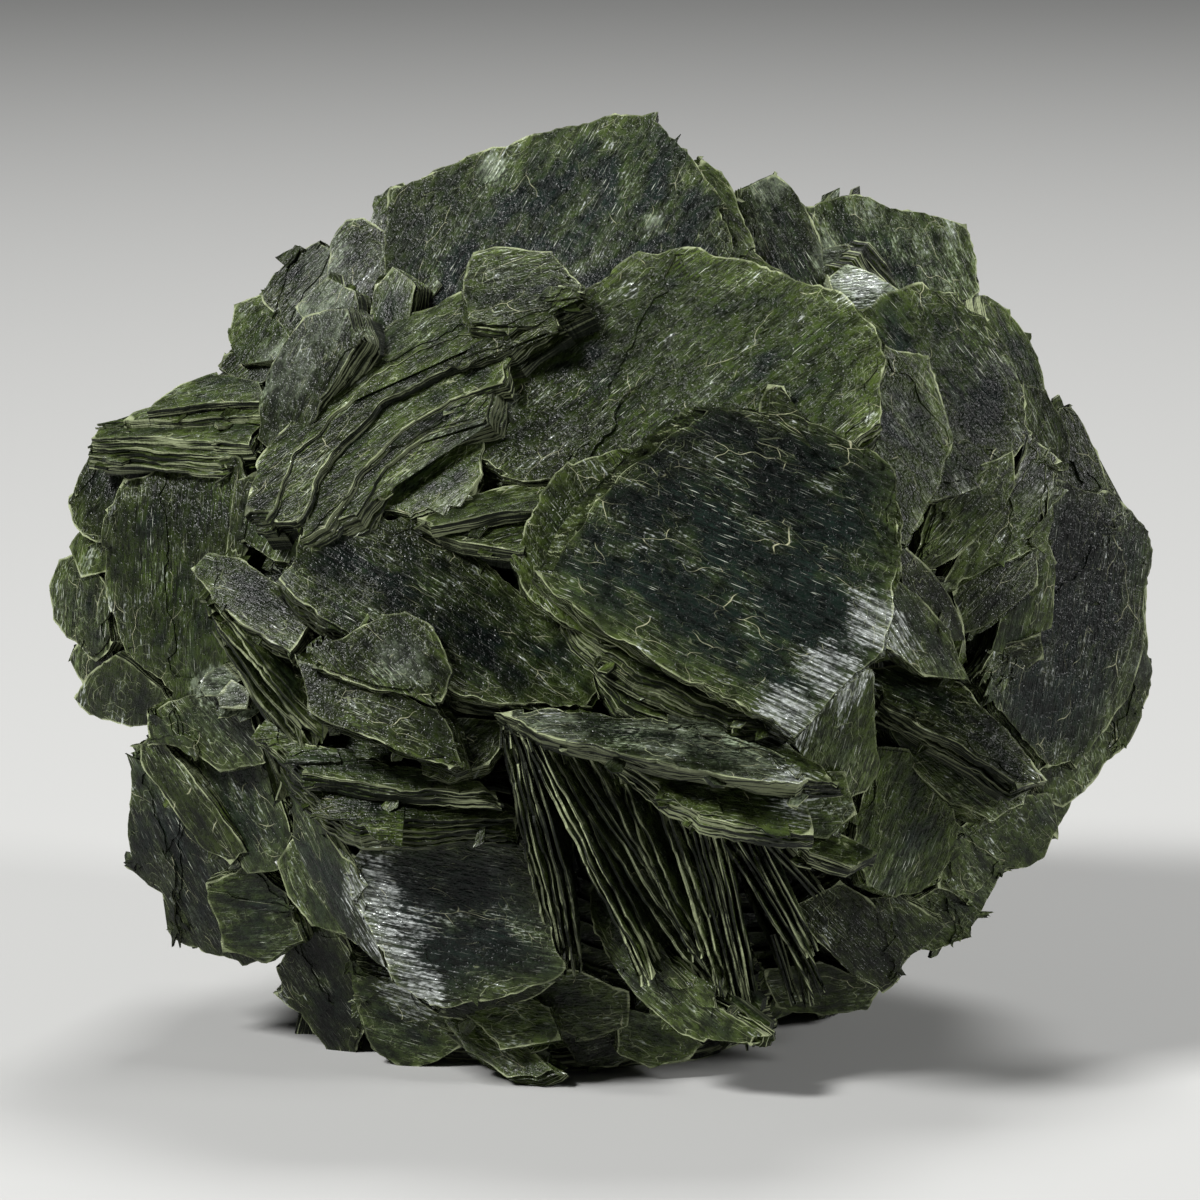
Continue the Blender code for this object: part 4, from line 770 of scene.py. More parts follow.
def mark(bm, crystal, in_front):
    """Write a crystal's looks into its layers, while it still lies in its own plane."""
    rim_layer = bm.verts.layers.float["rim"]
    grain_layer = bm.verts.layers.float_vector["grain"]
    looks_layer = bm.verts.layers.float_vector["looks"]
    edge_layer = bm.faces.layers.float["edge"]
    places = np.array([vert.co for vert in bm.verts])
    flags = np.array([vert[rim_layer] for vert in bm.verts])
    rims = np.maximum(rim_distances(places[:, :2], crystal.corners) / RIM_WIDTH, COVERED_VALUE)
    rims = np.where(flags == FREE_RIM, 0.0, np.where(flags == COVERED_RIM, COVERED_VALUE, rims))
    # How deep a covered corner lies: the deeper it is, the darker its painted shade.
    deep = np.clip((-crystal.thickness - DEEP_FROM - places[:, 2]) / RIM_WIDTH, 0.0, 1.0)
    rims = np.where((flags == COVERED_RIM) & (deep > 0.0), np.minimum(FIRST_DEEP + deep, 1.0), rims)
    silver = pale = np.zeros(len(places))
    if in_front:
        matrix = np.array(crystal.place)
        seen = view_places(places @ matrix[:3, :3].T + matrix[:3, 3])
        # The spots say where a silvery sheen is painted and where the rims are whitish.
        silver, pale = spotted(seen, SHEEN_SPOTS), spotted(seen, PALE_SPOTS)
    for vert, rim, shine, whitish in zip(bm.verts, rims, silver, pale):
        vert[rim_layer] = rim
        vert[grain_layer] = vert.co + crystal.offset
        vert[looks_layer] = (crystal.green, min(1.0, crystal.pale + whitish), shine)
    for face in bm.faces:
        face[edge_layer] = 1.0 if abs(face.normal.z) < ON_EDGE else 0.0


print("covered corners count as", round(COVERED_VALUE * RIM_WIDTH, 2), "mm from the rim")

# %% [markdown]
# ## Put a crystal in its place
# The finished book is turned outward, marked, moved to its place in the rosette and added to the mesh
# of its part of the rosette. Whatever would reach below the ground is cut off and closed.

# %% Put a crystal in its place
GROUND_TOLERANCE = 1e-6


def join(leaves, bm):
    """Add all of one bmesh to another and free it."""
    carrier = bpy.data.meshes.new("carrier")
    bm.to_mesh(carrier)
    bm.free()
    leaves.from_mesh(carrier)
    bpy.data.meshes.remove(carrier)


def settle(leaves, bm, crystal, in_front=False):
    """Mark a finished crystal, put it in its place and add it to a bmesh of crystals."""
    bmesh.ops.recalc_face_normals(bm, faces=bm.faces)
    mark(bm, crystal, in_front)
    bm.transform(crystal.place)
    if min(vert.co.z for vert in bm.verts) < 0.0:
        cut = bmesh.ops.bisect_plane(bm, geom=[*bm.verts, *bm.edges, *bm.faces], dist=GROUND_TOLERANCE,
                                     plane_no=(0.0, 0.0, 1.0), clear_inner=True)["geom_cut"]
        border = [part for part in cut if isinstance(part, bmesh.types.BMEdge)]
        bmesh.ops.holes_fill(bm, edges=border, sides=0)
    join(leaves, bm)


def plant(leaves, crystal, fineness=FINE, with_root=True, in_front=False):
    """Make the book of a crystal and settle it."""
    bm = new_leaves()
    add_book(bm, crystal, fineness, with_root)
    settle(leaves, bm, crystal, in_front)


print("crystals are cut off at the ground")

# %% [markdown]
# ## The crystals of the front, planted
# Every row of the tables becomes a crystal. Its corners are where the rays through its outline meet its
# plane, as in the packed model, so the book covers its slab. The crystals go into four meshes by the
# part of the rosette that they make up, which keeps each mesh small enough to handle.

# %% The crystals of the front, planted
grown = []


def view_direction(angle):
    """A direction within the front view, anticlockwise from the right, in degrees."""
    angle = math.radians(angle)
    return VIEW_RIGHT * math.cos(angle) + VIEW_UP * math.sin(angle)


def front_crystal(name, out, turn, tip, thickness, grain, green, pale, outline):
    """A crystal whose broad face shows from the front."""
    right = sum(place[0] for place in outline) / len(outline)
    down = sum(place[1] for place in outline) / len(outline)
    anchor, normal = view_point(right, down, out), leaning(turn, tip)
    corners = []
    for place in outline:
        ray = view_ray(*place)
        corners.append(EYE + ray * ((anchor - EYE).dot(normal) / ray.dot(normal)))
    return Crystal(name, corners, normal, thickness * MM, view_direction(grain), green, pale)


def front_leaves(*tables):
    """Plant all the crystals of some tables in one bmesh."""
    leaves = new_leaves()
    for row in [row for table in tables for row in table]:
        crystal = front_crystal(*row)
        grown.append(crystal)
        plant(leaves, crystal, in_front=True)
    return leaves


parts = {"crown_crystals": front_leaves(CROWN, BROW, ROOF),
         "front_crystals": front_leaves(FRONT),
         "left_crystals": front_leaves(LEFT, LOW_LEFT),
         "right_crystals": front_leaves(RIGHT, BASE, FAN)}
for name, leaves in parts.items():
    print(name, len(leaves.faces), "faces")
print("the largest crystal is", max(grown, key=lambda crystal: crystal.size).name)

# %% [markdown]
# ## The blades, planted
# A blade is a crystal whose shown edge lies on the near side. It bulges a little and runs out in a
# point. Its leaves have sprung apart, so each is a thin leaf of its own that is turned a little
# further round the blade's inner edge, and dark gaps open between their pale edges.

# %% The blades, planted
BLADE_POINTS = 5
BLADE_BULGE = 0.045
BLADE_SLANT = (0.35, 0.9)
BLADE_LEAVES = 3
BLADE_LEAF = 0.24
BLADE_SPLAY = math.radians(2.3)
BLADE_JITTER = 0.008
BLADE_SLIDES, BLADE_SLIPS = (-2.5, 2.5), (-1.4, 0.0)
BLADE_INSETS = (0.0, 0.4)
BLADE_TO_BLADE = 3.0
BLADE_CELL = 2.0
BLADE_GREEN, BLADE_PALE = 0.5, 0.12


def blade(name, start, end, start_out, end_out, roll, thickness, depth):
    """A thin crystal seen on its edge, which runs between two places and goes back into the rosette."""
    first = view_point(*start, start_out)
    last = view_point(*end, end_out)
    along = (last - first).normalized()
    inward = VIEW_FORWARD - along * VIEW_FORWARD.dot(along)
    inward = Matrix.Rotation(math.radians(roll), 3, along) @ inward.normalized()
    normal = along.cross(inward)
    outline = []
    for point in range(BLADE_POINTS):
        share = point / (BLADE_POINTS - 1)
        bulge = BLADE_BULGE * 4.0 * share * (1.0 - share) * (last - first).length
        outline.append(first.lerp(last, share) - inward * bulge)
    outline.append(last + (inward - along * BLADE_SLANT[1]) * depth * MM)
    outline.append(first + (inward + along * BLADE_SLANT[0]) * depth * MM)
    return Crystal(name, outline, normal, thickness * MM, along, BLADE_GREEN, BLADE_PALE)


def add_blade(bm, crystal):
    """Add the sprung leaves of a blade."""
    inner = max(corner.y for corner in crystal.corners)
    hinge = Vector((0.0, inner, 0.0))
    for index in range(BLADE_LEAVES):
        known = set(bm.verts)
        slide = Vector((dice.uniform(*BLADE_SLIDES), dice.uniform(*BLADE_SLIPS)))
        inset = dice.uniform(*BLADE_INSETS)
        rim = broken_rim(crystal, crystal.corners, BLADE_TO_BLADE * index, inset, slide, FINE["step"])
        add_leaf(bm, crystal, rim, 0.0, BLADE_LEAF, BLADE_CELL)
        turn = BLADE_SPLAY * (index - 1) + dice.uniform(-BLADE_JITTER, BLADE_JITTER)
        new_verts = [vert for vert in bm.verts if vert not in known]
        bmesh.ops.rotate(bm, cent=hinge, matrix=Matrix.Rotation(turn, 3, "X"), verts=new_verts)


fan = new_leaves()
for row in BLADES:
    crystal = blade(*row)
    bm = new_leaves()
    add_blade(bm, crystal)
    settle(fan, bm, crystal, in_front=True)
parts["fan_blades"] = fan
print("fan_blades", len(fan.faces), "faces")

# %% [markdown]
# ## Places at the back
# What the front view hides is guessed. The back is a half ball whose rim is the outer line of the front
# view, so it is as wide as the front in every direction.

# %% Places at the back
SILHOUETTE = [(64, 11), (73, 19), (87, 19), (98, 27), (105, 39), (111, 48), (115, 55), (115, 68), (107, 80),
              (103, 87), (95, 96), (82, 102), (69, 106), (52, 108), (33, 106), (24, 97), (12, 88), (12, 74),
              (7, 69), (5, 58), (8, 45), (20, 38), (25, 29), (34, 22), (41, 17), (54, 13)]
BACK_REACH = 0.0440
BACK_SEATS = (0.77, 0.87)


def silhouette_reach(across, upward):
    """How far the front view's outer line lies from its middle in a direction within the view."""
    heading = Vector((across, -upward)).normalized()
    for start, end in zip(SILHOUETTE, SILHOUETTE[1:] + SILHOUETTE[:1]):
        start, end = Vector(start) - Vector(VIEW_MIDDLE), Vector(end) - Vector(VIEW_MIDDLE)
        side = end - start
        turn = heading.cross(side)
        if turn:
            distance, share = start.cross(side) / turn, start.cross(heading) / turn
            if distance > 0.0 and 0.0 <= share <= 1.0:
                return distance * MM
    return BACK_REACH


def back_seat(outward):
    """The middle of a back crystal that lies in a direction from the rosette's middle."""
    across, upward, hidden = (outward.dot(axis) for axis in (VIEW_RIGHT, VIEW_UP, VIEW_FORWARD))
    rim = silhouette_reach(across, upward)
    reach = 1.0 / math.hypot(math.hypot(across, upward) / rim, hidden / BACK_REACH)
    at_rim, at_back = BACK_SEATS
    return ROSETTE_MIDDLE + outward * reach * (at_rim + (at_back - at_rim) * hidden)


print("the back reaches", BACK_REACH / MM, "mm from the middle")

# %% [markdown]
# ## A six-sided crystal
# Chlorite is monoclinic but looks six-sided. The corners of a hidden crystal are therefore those of a
# hexagon, each moved a little round and in or out.

# %% A six-sided crystal
CORNERS = 6
CORNER_TURN = 0.2
CORNER_REACH = (0.85, 1.15)
BACK_THICKNESS = (0.0026, 0.0050)
BACK_GREEN, BACK_PALE = (0.1, 0.85), (0.02, 0.2)


def hexagonal_crystal(name, seat, normal, radius, place_dice, green, pale):
    """A pseudo-hexagonal crystal with uneven corners."""
    first_arm = normal.orthogonal().normalized()
    spin = place_dice.uniform(0.0, math.pi)
    outline = []
    for corner in range(CORNERS):
        angle = spin + math.tau * (corner + place_dice.uniform(-CORNER_TURN, CORNER_TURN)) / CORNERS
        arm = first_arm * math.cos(angle) + normal.cross(first_arm) * math.sin(angle)
        outline.append(seat + arm * radius * place_dice.uniform(*CORNER_REACH))
    along = first_arm * math.cos(spin) + normal.cross(first_arm) * math.sin(spin)
    return Crystal(name, outline, normal, place_dice.uniform(*BACK_THICKNESS), along, green, pale)


def any_looks():
    """How green and how pale a hidden crystal is."""
    return dice.uniform(*BACK_GREEN), dice.uniform(*BACK_PALE)


print("hidden crystals are", BACK_THICKNESS, "m thick")

# %% [markdown]
# ## The crystals of the back
# They stand on a spiral from the top of the rosette down, each leaning on the next. Their places follow
# the same rules and the same dice as in the packed model, so each book sits on its slab.

# %% The crystals of the back
SPIRAL_PLATES = 90
GOLDEN_ANGLE = math.pi * (3.0 - math.sqrt(5.0))
RIM_LIMIT = 0.11
UNDER_LIMIT = -0.93
BACK_RADII = (0.010, 0.017)
BACK_LEAN = 0.42
SIDEWAYS_LEANS = (-0.8, 0.8)
DOWNWARD_LEANS = (0.2, 1.0)
SWIRL_AXIS = Vector((0.3, 0.2, 1.0))
PLACE_SEED = 11
HIGH_FROM, MIDDLE_FROM = 0.3, -0.35

back_high, back_middle, back_low = new_leaves(), new_leaves(), new_leaves()
place_dice = random.Random(PLACE_SEED)
for index in range(SPIRAL_PLATES):
    height = 1.0 - 2.0 * (index + 0.5) / SPIRAL_PLATES
    level = math.sqrt(1.0 - height * height)
    angle = GOLDEN_ANGLE * index
    outward = Vector((level * math.cos(angle), level * math.sin(angle), height))
    if outward.dot(VIEW_FORWARD) > RIM_LIMIT and outward.z > UNDER_LIMIT:
        sideways = outward.cross(SWIRL_AXIS).normalized()
        downward = sideways.cross(outward)
        lean = (sideways * place_dice.uniform(*SIDEWAYS_LEANS)
                + downward * place_dice.uniform(*DOWNWARD_LEANS))
        normal = (outward + lean * BACK_LEAN).normalized()
        radius = place_dice.uniform(*BACK_RADII)
        crystal = hexagonal_crystal(f"back_{index}", back_seat(outward), normal, radius, place_dice,
                                    *any_looks())
        grown.append(crystal)
        part = back_high if height > HIGH_FROM else back_middle if height > MIDDLE_FROM else back_low
        plant(part, crystal, COARSE)
print("back:", [len(leaves.faces) for leaves in (back_high, back_middle, back_low)], "faces")

# %% [markdown]
# ## The skirt
# Low crystals stand round the sides and the back of the foot, so that the rosette doesn't look cut off.

# %% The skirt
SKIRT_PLATES = 9
SKIRT_LEFT, SKIRT_RIGHT, SKIRT_BACK = 0.028, 0.022, 0.029
SKIRT_FIRST, SKIRT_LAST = math.radians(10.0), math.radians(172.0)
SKIRT_HEIGHTS = (0.007, 0.011)
SKIRT_RADII = (0.010, 0.013)
SKIRT_RISE = 0.25

place_dice = random.Random(PLACE_SEED)
for index in range(SKIRT_PLATES):
    angle = SKIRT_FIRST + (SKIRT_LAST - SKIRT_FIRST) * index / (SKIRT_PLATES - 1)
    outward = Vector((math.cos(angle), math.sin(angle), SKIRT_RISE))
    sideways = SKIRT_RIGHT if outward.x > 0.0 else SKIRT_LEFT
    height = place_dice.uniform(*SKIRT_HEIGHTS)
    seat = Vector((outward.x * sideways, outward.y * SKIRT_BACK, height))
    radius = place_dice.uniform(*SKIRT_RADII)
    crystal = hexagonal_crystal(f"skirt_{index}", seat, outward.normalized(), radius, place_dice,
                                *any_looks())
    grown.append(crystal)
    plant(back_low, crystal, COARSE)
print("with the skirt:", len(back_low.faces), "faces")

# %% [markdown]
# ## The collar
# Between the backs of the front crystals and the first ones of the spiral a gap would stay open, which
# is seen from the sides. A ring of smaller crystals that face back and outward closes it.

# %% The collar
COLLAR_CRYSTALS = 22
COLLAR_HIDDEN = (0.10, 0.35)
COLLAR_SEATS = (0.68, 0.78)
COLLAR_LEANS = (0.5, 1.2)
COLLAR_RADII = (0.009, 0.013)
COLLAR_LOWEST = 0.014

for index in range(COLLAR_CRYSTALS):
    angle = math.tau * index / COLLAR_CRYSTALS
    within_view = VIEW_RIGHT * math.cos(angle) + VIEW_UP * math.sin(angle)
    outward = (within_view + VIEW_FORWARD * dice.uniform(*COLLAR_HIDDEN)).normalized()
    reach = silhouette_reach(math.cos(angle), math.sin(angle)) * dice.uniform(*COLLAR_SEATS)
    seat = ROSETTE_MIDDLE + outward * reach
    normal = (outward + VIEW_FORWARD * dice.uniform(*COLLAR_LEANS)).normalized()
    if seat.z > COLLAR_LOWEST:
        crystal = hexagonal_crystal(f"collar_{index}", seat, normal, dice.uniform(*COLLAR_RADII), dice,
                                    *any_looks())
        grown.append(crystal)
        plant(back_high if outward.z > HIGH_FROM else back_middle, crystal, COARSE)
parts["back_crystals_high"] = back_high
parts["back_crystals_middle"] = back_middle
parts["back_crystals_low"] = back_low
print("back with collar:", [len(leaves.faces) for leaves in (back_high, back_middle, back_low)], "faces")

# %% [markdown]
# ## The foot
# The rosette was broken off where it grew, so it stands on a ragged stack of leaves, whose flat lowest
# leaf is the face that it rests on.

# %% The foot
FOOT_OUTLINE = [(-0.024, -0.005), (-0.017, -0.015), (-0.004, -0.020), (0.008, -0.017), (0.017, -0.005),
                (0.017, 0.012), (0.008, 0.022), (-0.009, 0.021), (-0.022, 0.012)]
FOOT_THICKNESS = 0.0078
FOOT_GRAIN = Vector((1.0, 0.3, 0.0))
FOOT_GREEN, FOOT_PALE = 0.4, 0.2

foot = new_leaves()
down = Vector((0.0, 0.0, -1.0))
outline = [Vector((x, y, 0.0)) for x, y in FOOT_OUTLINE]
crystal = Crystal("foot", outline, down, FOOT_THICKNESS, FOOT_GRAIN, FOOT_GREEN, FOOT_PALE)
crystal.bend = 0.0
crystal.slide = Vector((0.0, 0.0))
crystal.lift = lambda x, y: 0.0
plant(foot, crystal, COARSE, with_root=False)
print("foot", len(foot.faces), "faces")

# %% [markdown]
# ## The core
# Deep in the gaps between the crystals lies the core, a rough dark ball that closes off the view
# through the rosette.

# %% The core
CORE_MIDDLE = Vector((0.0, 0.0070, 0.0450))
CORE_REACH = Vector((0.0390, 0.0280, 0.0330))
CORE_ROUGHNESS = 0.06
CORE_LUMPS = 4.0
CORE_SUBDIVISIONS = 5
CORE_LOOKS = (0.3, 0.0, 0.0)

core = new_leaves()
bmesh.ops.create_icosphere(core, subdivisions=CORE_SUBDIVISIONS, radius=1.0)
for vert in core.verts:
    vert.co *= 1.0 + CORE_ROUGHNESS * noise.noise(vert.co * CORE_LUMPS)
bmesh.ops.scale(core, vec=CORE_REACH, verts=core.verts)
bmesh.ops.translate(core, vec=CORE_MIDDLE, verts=core.verts)
for vert in core.verts:
    vert[core.verts.layers.float["rim"]] = 1.0
    vert[core.verts.layers.float_vector["grain"]] = vert.co / MM
    vert[core.verts.layers.float_vector["looks"]] = CORE_LOOKS
join(foot, core)
parts["foot_and_core"] = foot
print("foot_and_core", len(foot.faces), "faces")

# %% [markdown]
# ## Chips along the rims
# Small broken flakes sit on the rims of crystals that are picked at random. Each is a thin leaf with a
# few corners, set into the rim of a crystal at a slight angle.

# %% Chips along the rims
CHIPS = 1100
CHIP_CORNERS = (4, 7)
CHIP_RADII = (0.4, 1.5)
CHIP_THICKNESS = (0.15, 0.4)
CHIP_TILT = 0.5
CHIP_SEATS, CHIP_DEPTHS = (0.88, 0.98), (0.1, 1.0)
CHIP_TURN = 0.3
CHIP_NARROW = 0.7
CHIP_REACH = (0.6, 1.3)
CHIP_GREENER, CHIP_PALER = 0.2, (0.0, 0.25)

chips = new_leaves()
for index in range(CHIPS):
    host = dice.choice(grown)
    side = dice.randrange(len(host.corners))
    seat = host.corners[side].lerp(host.corners[(side + 1) % len(host.corners)], dice.random())
    seat = seat * dice.uniform(*CHIP_SEATS)
    depth = dice.uniform(*CHIP_DEPTHS) * host.thickness
    seat = host.place @ Vector((seat.x, seat.y, host.lift(seat.x, seat.y) - depth))
    tilt = Vector([dice.uniform(-CHIP_TILT, CHIP_TILT) for _ in range(3)])
    normal = (host.place.to_3x3().col[2].normalized() + tilt).normalized()
    first_arm = normal.orthogonal().normalized()
    radius = dice.uniform(*CHIP_RADII) * MM
    corner_count = dice.randint(*CHIP_CORNERS)
    corners = []
    for corner in range(corner_count):
        turn = math.tau * (corner + dice.uniform(-CHIP_TURN, CHIP_TURN)) / corner_count
        arm = first_arm * math.cos(turn) + normal.cross(first_arm) * math.sin(turn) * CHIP_NARROW
        corners.append(seat + arm * radius * dice.uniform(*CHIP_REACH))
    chip = Crystal(f"chip_{index}", corners, normal, dice.uniform(*CHIP_THICKNESS) * MM, first_arm,
                   min(1.0, host.green + CHIP_GREENER), min(1.0, host.pale + dice.uniform(*CHIP_PALER)))
    bm = new_leaves()
    add_leaf(bm, chip, chip.corners, 0.0, chip.thickness)
    settle(chips, bm, chip)
parts["chips"] = chips
print("chips", len(chips.faces), "faces, on", len(grown), "crystals")

# %% [markdown]
# ## Sums on sockets
# A finish is a network of nodes, and most of its nodes are sums. A class that wraps an output socket
# and overloads the operators lets a sum be written as one, and adds the Math nodes by itself. Every
# other node comes from one function that takes its type, its settings and its inputs.

# %% Sums on sockets


class Shade:
    """An output socket that can be used in sums."""

    def __init__(self, tree, socket):
        self.tree, self.socket = tree, socket

    def _sum(self, operation, first, second):
        return add_node(self.tree, "ShaderNodeMath", {"operation": operation}, {0: first, 1: second})

    def __add__(self, other):
        return self._sum("ADD", self, other)

    def __radd__(self, other):
        return self._sum("ADD", other, self)

    def __sub__(self, other):
        return self._sum("SUBTRACT", self, other)

    def __rsub__(self, other):
        return self._sum("SUBTRACT", other, self)

    def __mul__(self, other):
        return self._sum("MULTIPLY", self, other)

    def __rmul__(self, other):
        return self._sum("MULTIPLY", other, self)

    def __pow__(self, other):
        return self._sum("POWER", self, other)


def add_node(tree, kind, settings, inputs, output=0):
    """Add a node with its settings and inputs, and return one of its outputs."""
    node = tree.nodes.new(kind)
    for name, value in settings.items():
        setattr(node, name, value)
    for name, value in inputs.items():
        if isinstance(value, Shade):
            tree.links.new(value.socket, node.inputs[name])
        else:
            node.inputs[name].default_value = value
    return Shade(tree, node.outputs[output])


def attribute(tree, name, output="Fac"):
    """A layer of the mesh."""
    return add_node(tree, "ShaderNodeAttribute", {"attribute_name": name}, {}, output)


def stretched(tree, vector, stretch, turn=0.0):
    """A pattern's place, stretched along the grain and perhaps turned off it, in degrees."""
    return add_node(tree, "ShaderNodeMapping", {"vector_type": "TEXTURE"},
                    {"Vector": vector, "Scale": stretch, "Rotation": (0.0, 0.0, math.radians(turn))})


def clouds(tree, place, detail=3.0, roughness=0.55, dimensions="2D"):
    """A noise from 0 to 1 at a place in a crystal's plane, or also through its leaves in 3D."""
    return add_node(tree, "ShaderNodeTexNoise", {"noise_dimensions": dimensions},
                    {"Vector": place, "Scale": 1.0, "Detail": detail, "Roughness": roughness})


def clouds_colour(tree, place):
    """A noise of three numbers at a place, to push another pattern about with."""
    return add_node(tree, "ShaderNodeTexNoise", {"noise_dimensions": "2D"},
                    {"Vector": place, "Scale": 1.0, "Detail": 0.0}, "Color")


def step(tree, value, low, high):
    """A soft step from 0 to 1 while a value goes from low to high."""
    return add_node(tree, "ShaderNodeMapRange", {"interpolation_type": "SMOOTHSTEP"},
                    {"Value": value, "From Min": low, "From Max": high})


def blend(tree, amount, first, second):
    """A colour between two colours."""
    return add_node(tree, "ShaderNodeMix", {"data_type": "RGBA"}, {0: amount, 6: first, 7: second}, 2)


print("sums:", [name.strip("_") for name in vars(Shade) if name.strip("_") in ("add", "sub", "mul", "pow")])

# %% [markdown]
# ## Patterns along the grain
# Chlorite has a grain: silky lines, scratches and low steps run the same way over a whole face, and
# the mottling is drawn out along it too. So every pattern reads the grain layer, which is in
# millimetres, through a Mapping node that stretches it. A line then has the same width on every
# crystal, and as each crystal has its own offset in that layer, no two look alike. The broadest
# pattern hardly changes within a crystal, so it sets how dark each one is.

# %% Patterns along the grain
TONE_STRETCH, TONE_STEP = (45.0, 45.0, 45.0), (0.36, 0.64)
BUSY_STRETCH, BUSY_STEP = (8.0, 5.0, 6.0), (0.48, 0.70)
PATCH_STRETCH = (6.0, 3.4, 4.0)
MOTTLE_STRETCH, MOTTLE_STEP = (1.5, 0.9, 1.2), (0.34, 0.68)
SILK_STRETCH, SILK_TURN, SILK_STEP = (4.5, 0.30, 1.2), 4.0, (0.32, 0.76)
GRIT_STRETCH, GRIT_TURN, GRIT_STEP = (0.60, 0.22, 0.4), 8.0, (0.32, 0.72)
RELIEF_STRETCH = (12.0, 2.6, 6.0)
LEAF_STRETCH = (9.0, 9.0, 0.20)


def patterns(tree):
    """The layers of the mesh and the patterns of the finish, by name, most of them from 0 to 1."""
    marks = SimpleNamespace()
    marks.grain = grain = attribute(tree, "grain", "Vector")
    marks.rim, marks.edge = attribute(tree, "rim"), attribute(tree, "edge")
    split = tree.nodes.new("ShaderNodeSeparateXYZ")
    tree.links.new(attribute(tree, "looks", "Vector").socket, split.inputs[0])
    marks.green, marks.pale, marks.silver = (Shade(tree, socket) for socket in split.outputs)
    marks.tone = step(tree, clouds(tree, stretched(tree, grain, TONE_STRETCH), 0.0), *TONE_STEP)
    marks.busy = step(tree, clouds(tree, stretched(tree, grain, BUSY_STRETCH), 2.0), *BUSY_STEP)
    marks.patches = clouds(tree, stretched(tree, grain, PATCH_STRETCH), 2.0, 0.7, "3D")
    mottle = clouds(tree, stretched(tree, grain, MOTTLE_STRETCH), 3.0, 0.75)
    marks.mottle = step(tree, mottle, *MOTTLE_STEP)
    silk = clouds(tree, stretched(tree, grain, SILK_STRETCH, SILK_TURN), 2.0, 0.7)
    marks.silk = step(tree, silk, *SILK_STEP)
    grit = clouds(tree, stretched(tree, grain, GRIT_STRETCH, GRIT_TURN), 2.0, 0.6)
    marks.grit = step(tree, grit, *GRIT_STEP)
    marks.relief = clouds(tree, stretched(tree, grain, RELIEF_STRETCH), 2.0, 0.55)
    marks.pages = clouds(tree, stretched(tree, grain, LEAF_STRETCH), 1.0, 0.5, "3D")
    return marks


print("silk is stretched by", SILK_STRETCH, "mm along, across and through the leaves")

# %% [markdown]
# ## Lines on a face
# Four kinds of pale line lie on a face: the edges of low terraces, lines that follow the rim where
# light gets through, short scratches along the grain, and fine cracks filled with something cream.
# Terraces come from a noise cut into levels, and cracks from the borders of bent cells.

# %% Lines on a face
TERRACES = 12.0
TERRACE_STEP, TERRACE_PLACES = (0.955, 0.99), (0.44, 0.54)
CONTOURS = 7.0
CONTOUR_WANDER = 4.0
CONTOUR_STEP, CONTOUR_PLACES = (0.93, 0.98), (0.46, 0.58)
SCRATCH_STRETCH, SCRATCH_TURN, SCRATCH_STEP = (2.4, 0.12, 2.0), 6.0, (0.71, 0.79)
SCRATCH_FEW, SCRATCH_MORE = 0.15, 0.85
CRACK_STRETCH, CRACK_TURN, CRACK_STEP = (6.0, 2.4, 9.0), 14.0, (0.001, 0.011)
CRACK_BEND_STRETCH, CRACK_BEND = (2.0, 1.4, 3.0), (1.2, 0.8, 1.0)
CRACK_LEVELS, CRACK_PLACES = (0.47, 0.60), (0.45, 0.58)


def levels(tree, value):
    """How far a value has risen from one whole number to the next."""
    return add_node(tree, "ShaderNodeMath", {"operation": "FRACT"}, {0: value})


def add_lines(tree, marks):
    """Add the lines to the patterns."""
    terrace = step(tree, levels(tree, marks.relief * TERRACES), *TERRACE_STEP)
    marks.terrace = terrace * step(tree, marks.patches, *TERRACE_PLACES)
    contour = levels(tree, marks.rim * CONTOURS + marks.relief * CONTOUR_WANDER)
    marks.contour = (step(tree, contour, *CONTOUR_STEP) * (1.0 - marks.rim)
                     * step(tree, marks.patches, *CONTOUR_PLACES))
    scratch = clouds(tree, stretched(tree, marks.grain, SCRATCH_STRETCH, SCRATCH_TURN), 1.0, 0.5)
    marks.scratch = step(tree, scratch, *SCRATCH_STEP) * (SCRATCH_FEW + marks.busy * SCRATCH_MORE)
    push = clouds_colour(tree, stretched(tree, marks.grain, CRACK_BEND_STRETCH))
    bent = add_node(tree, "ShaderNodeVectorMath", {"operation": "MULTIPLY_ADD"},
                    {0: push, 1: CRACK_BEND, 2: marks.grain})
    cells = add_node(tree, "ShaderNodeTexVoronoi",
                     {"feature": "DISTANCE_TO_EDGE", "voronoi_dimensions": "2D"},
                     {"Vector": stretched(tree, bent, CRACK_STRETCH, CRACK_TURN), "Scale": 1.0})
    marks.crack = ((1.0 - step(tree, cells, *CRACK_STEP)) * step(tree, marks.relief, *CRACK_LEVELS)
                   * step(tree, marks.patches, *CRACK_PLACES))


print("lines: terraces, rim contours, scratches, cracks")
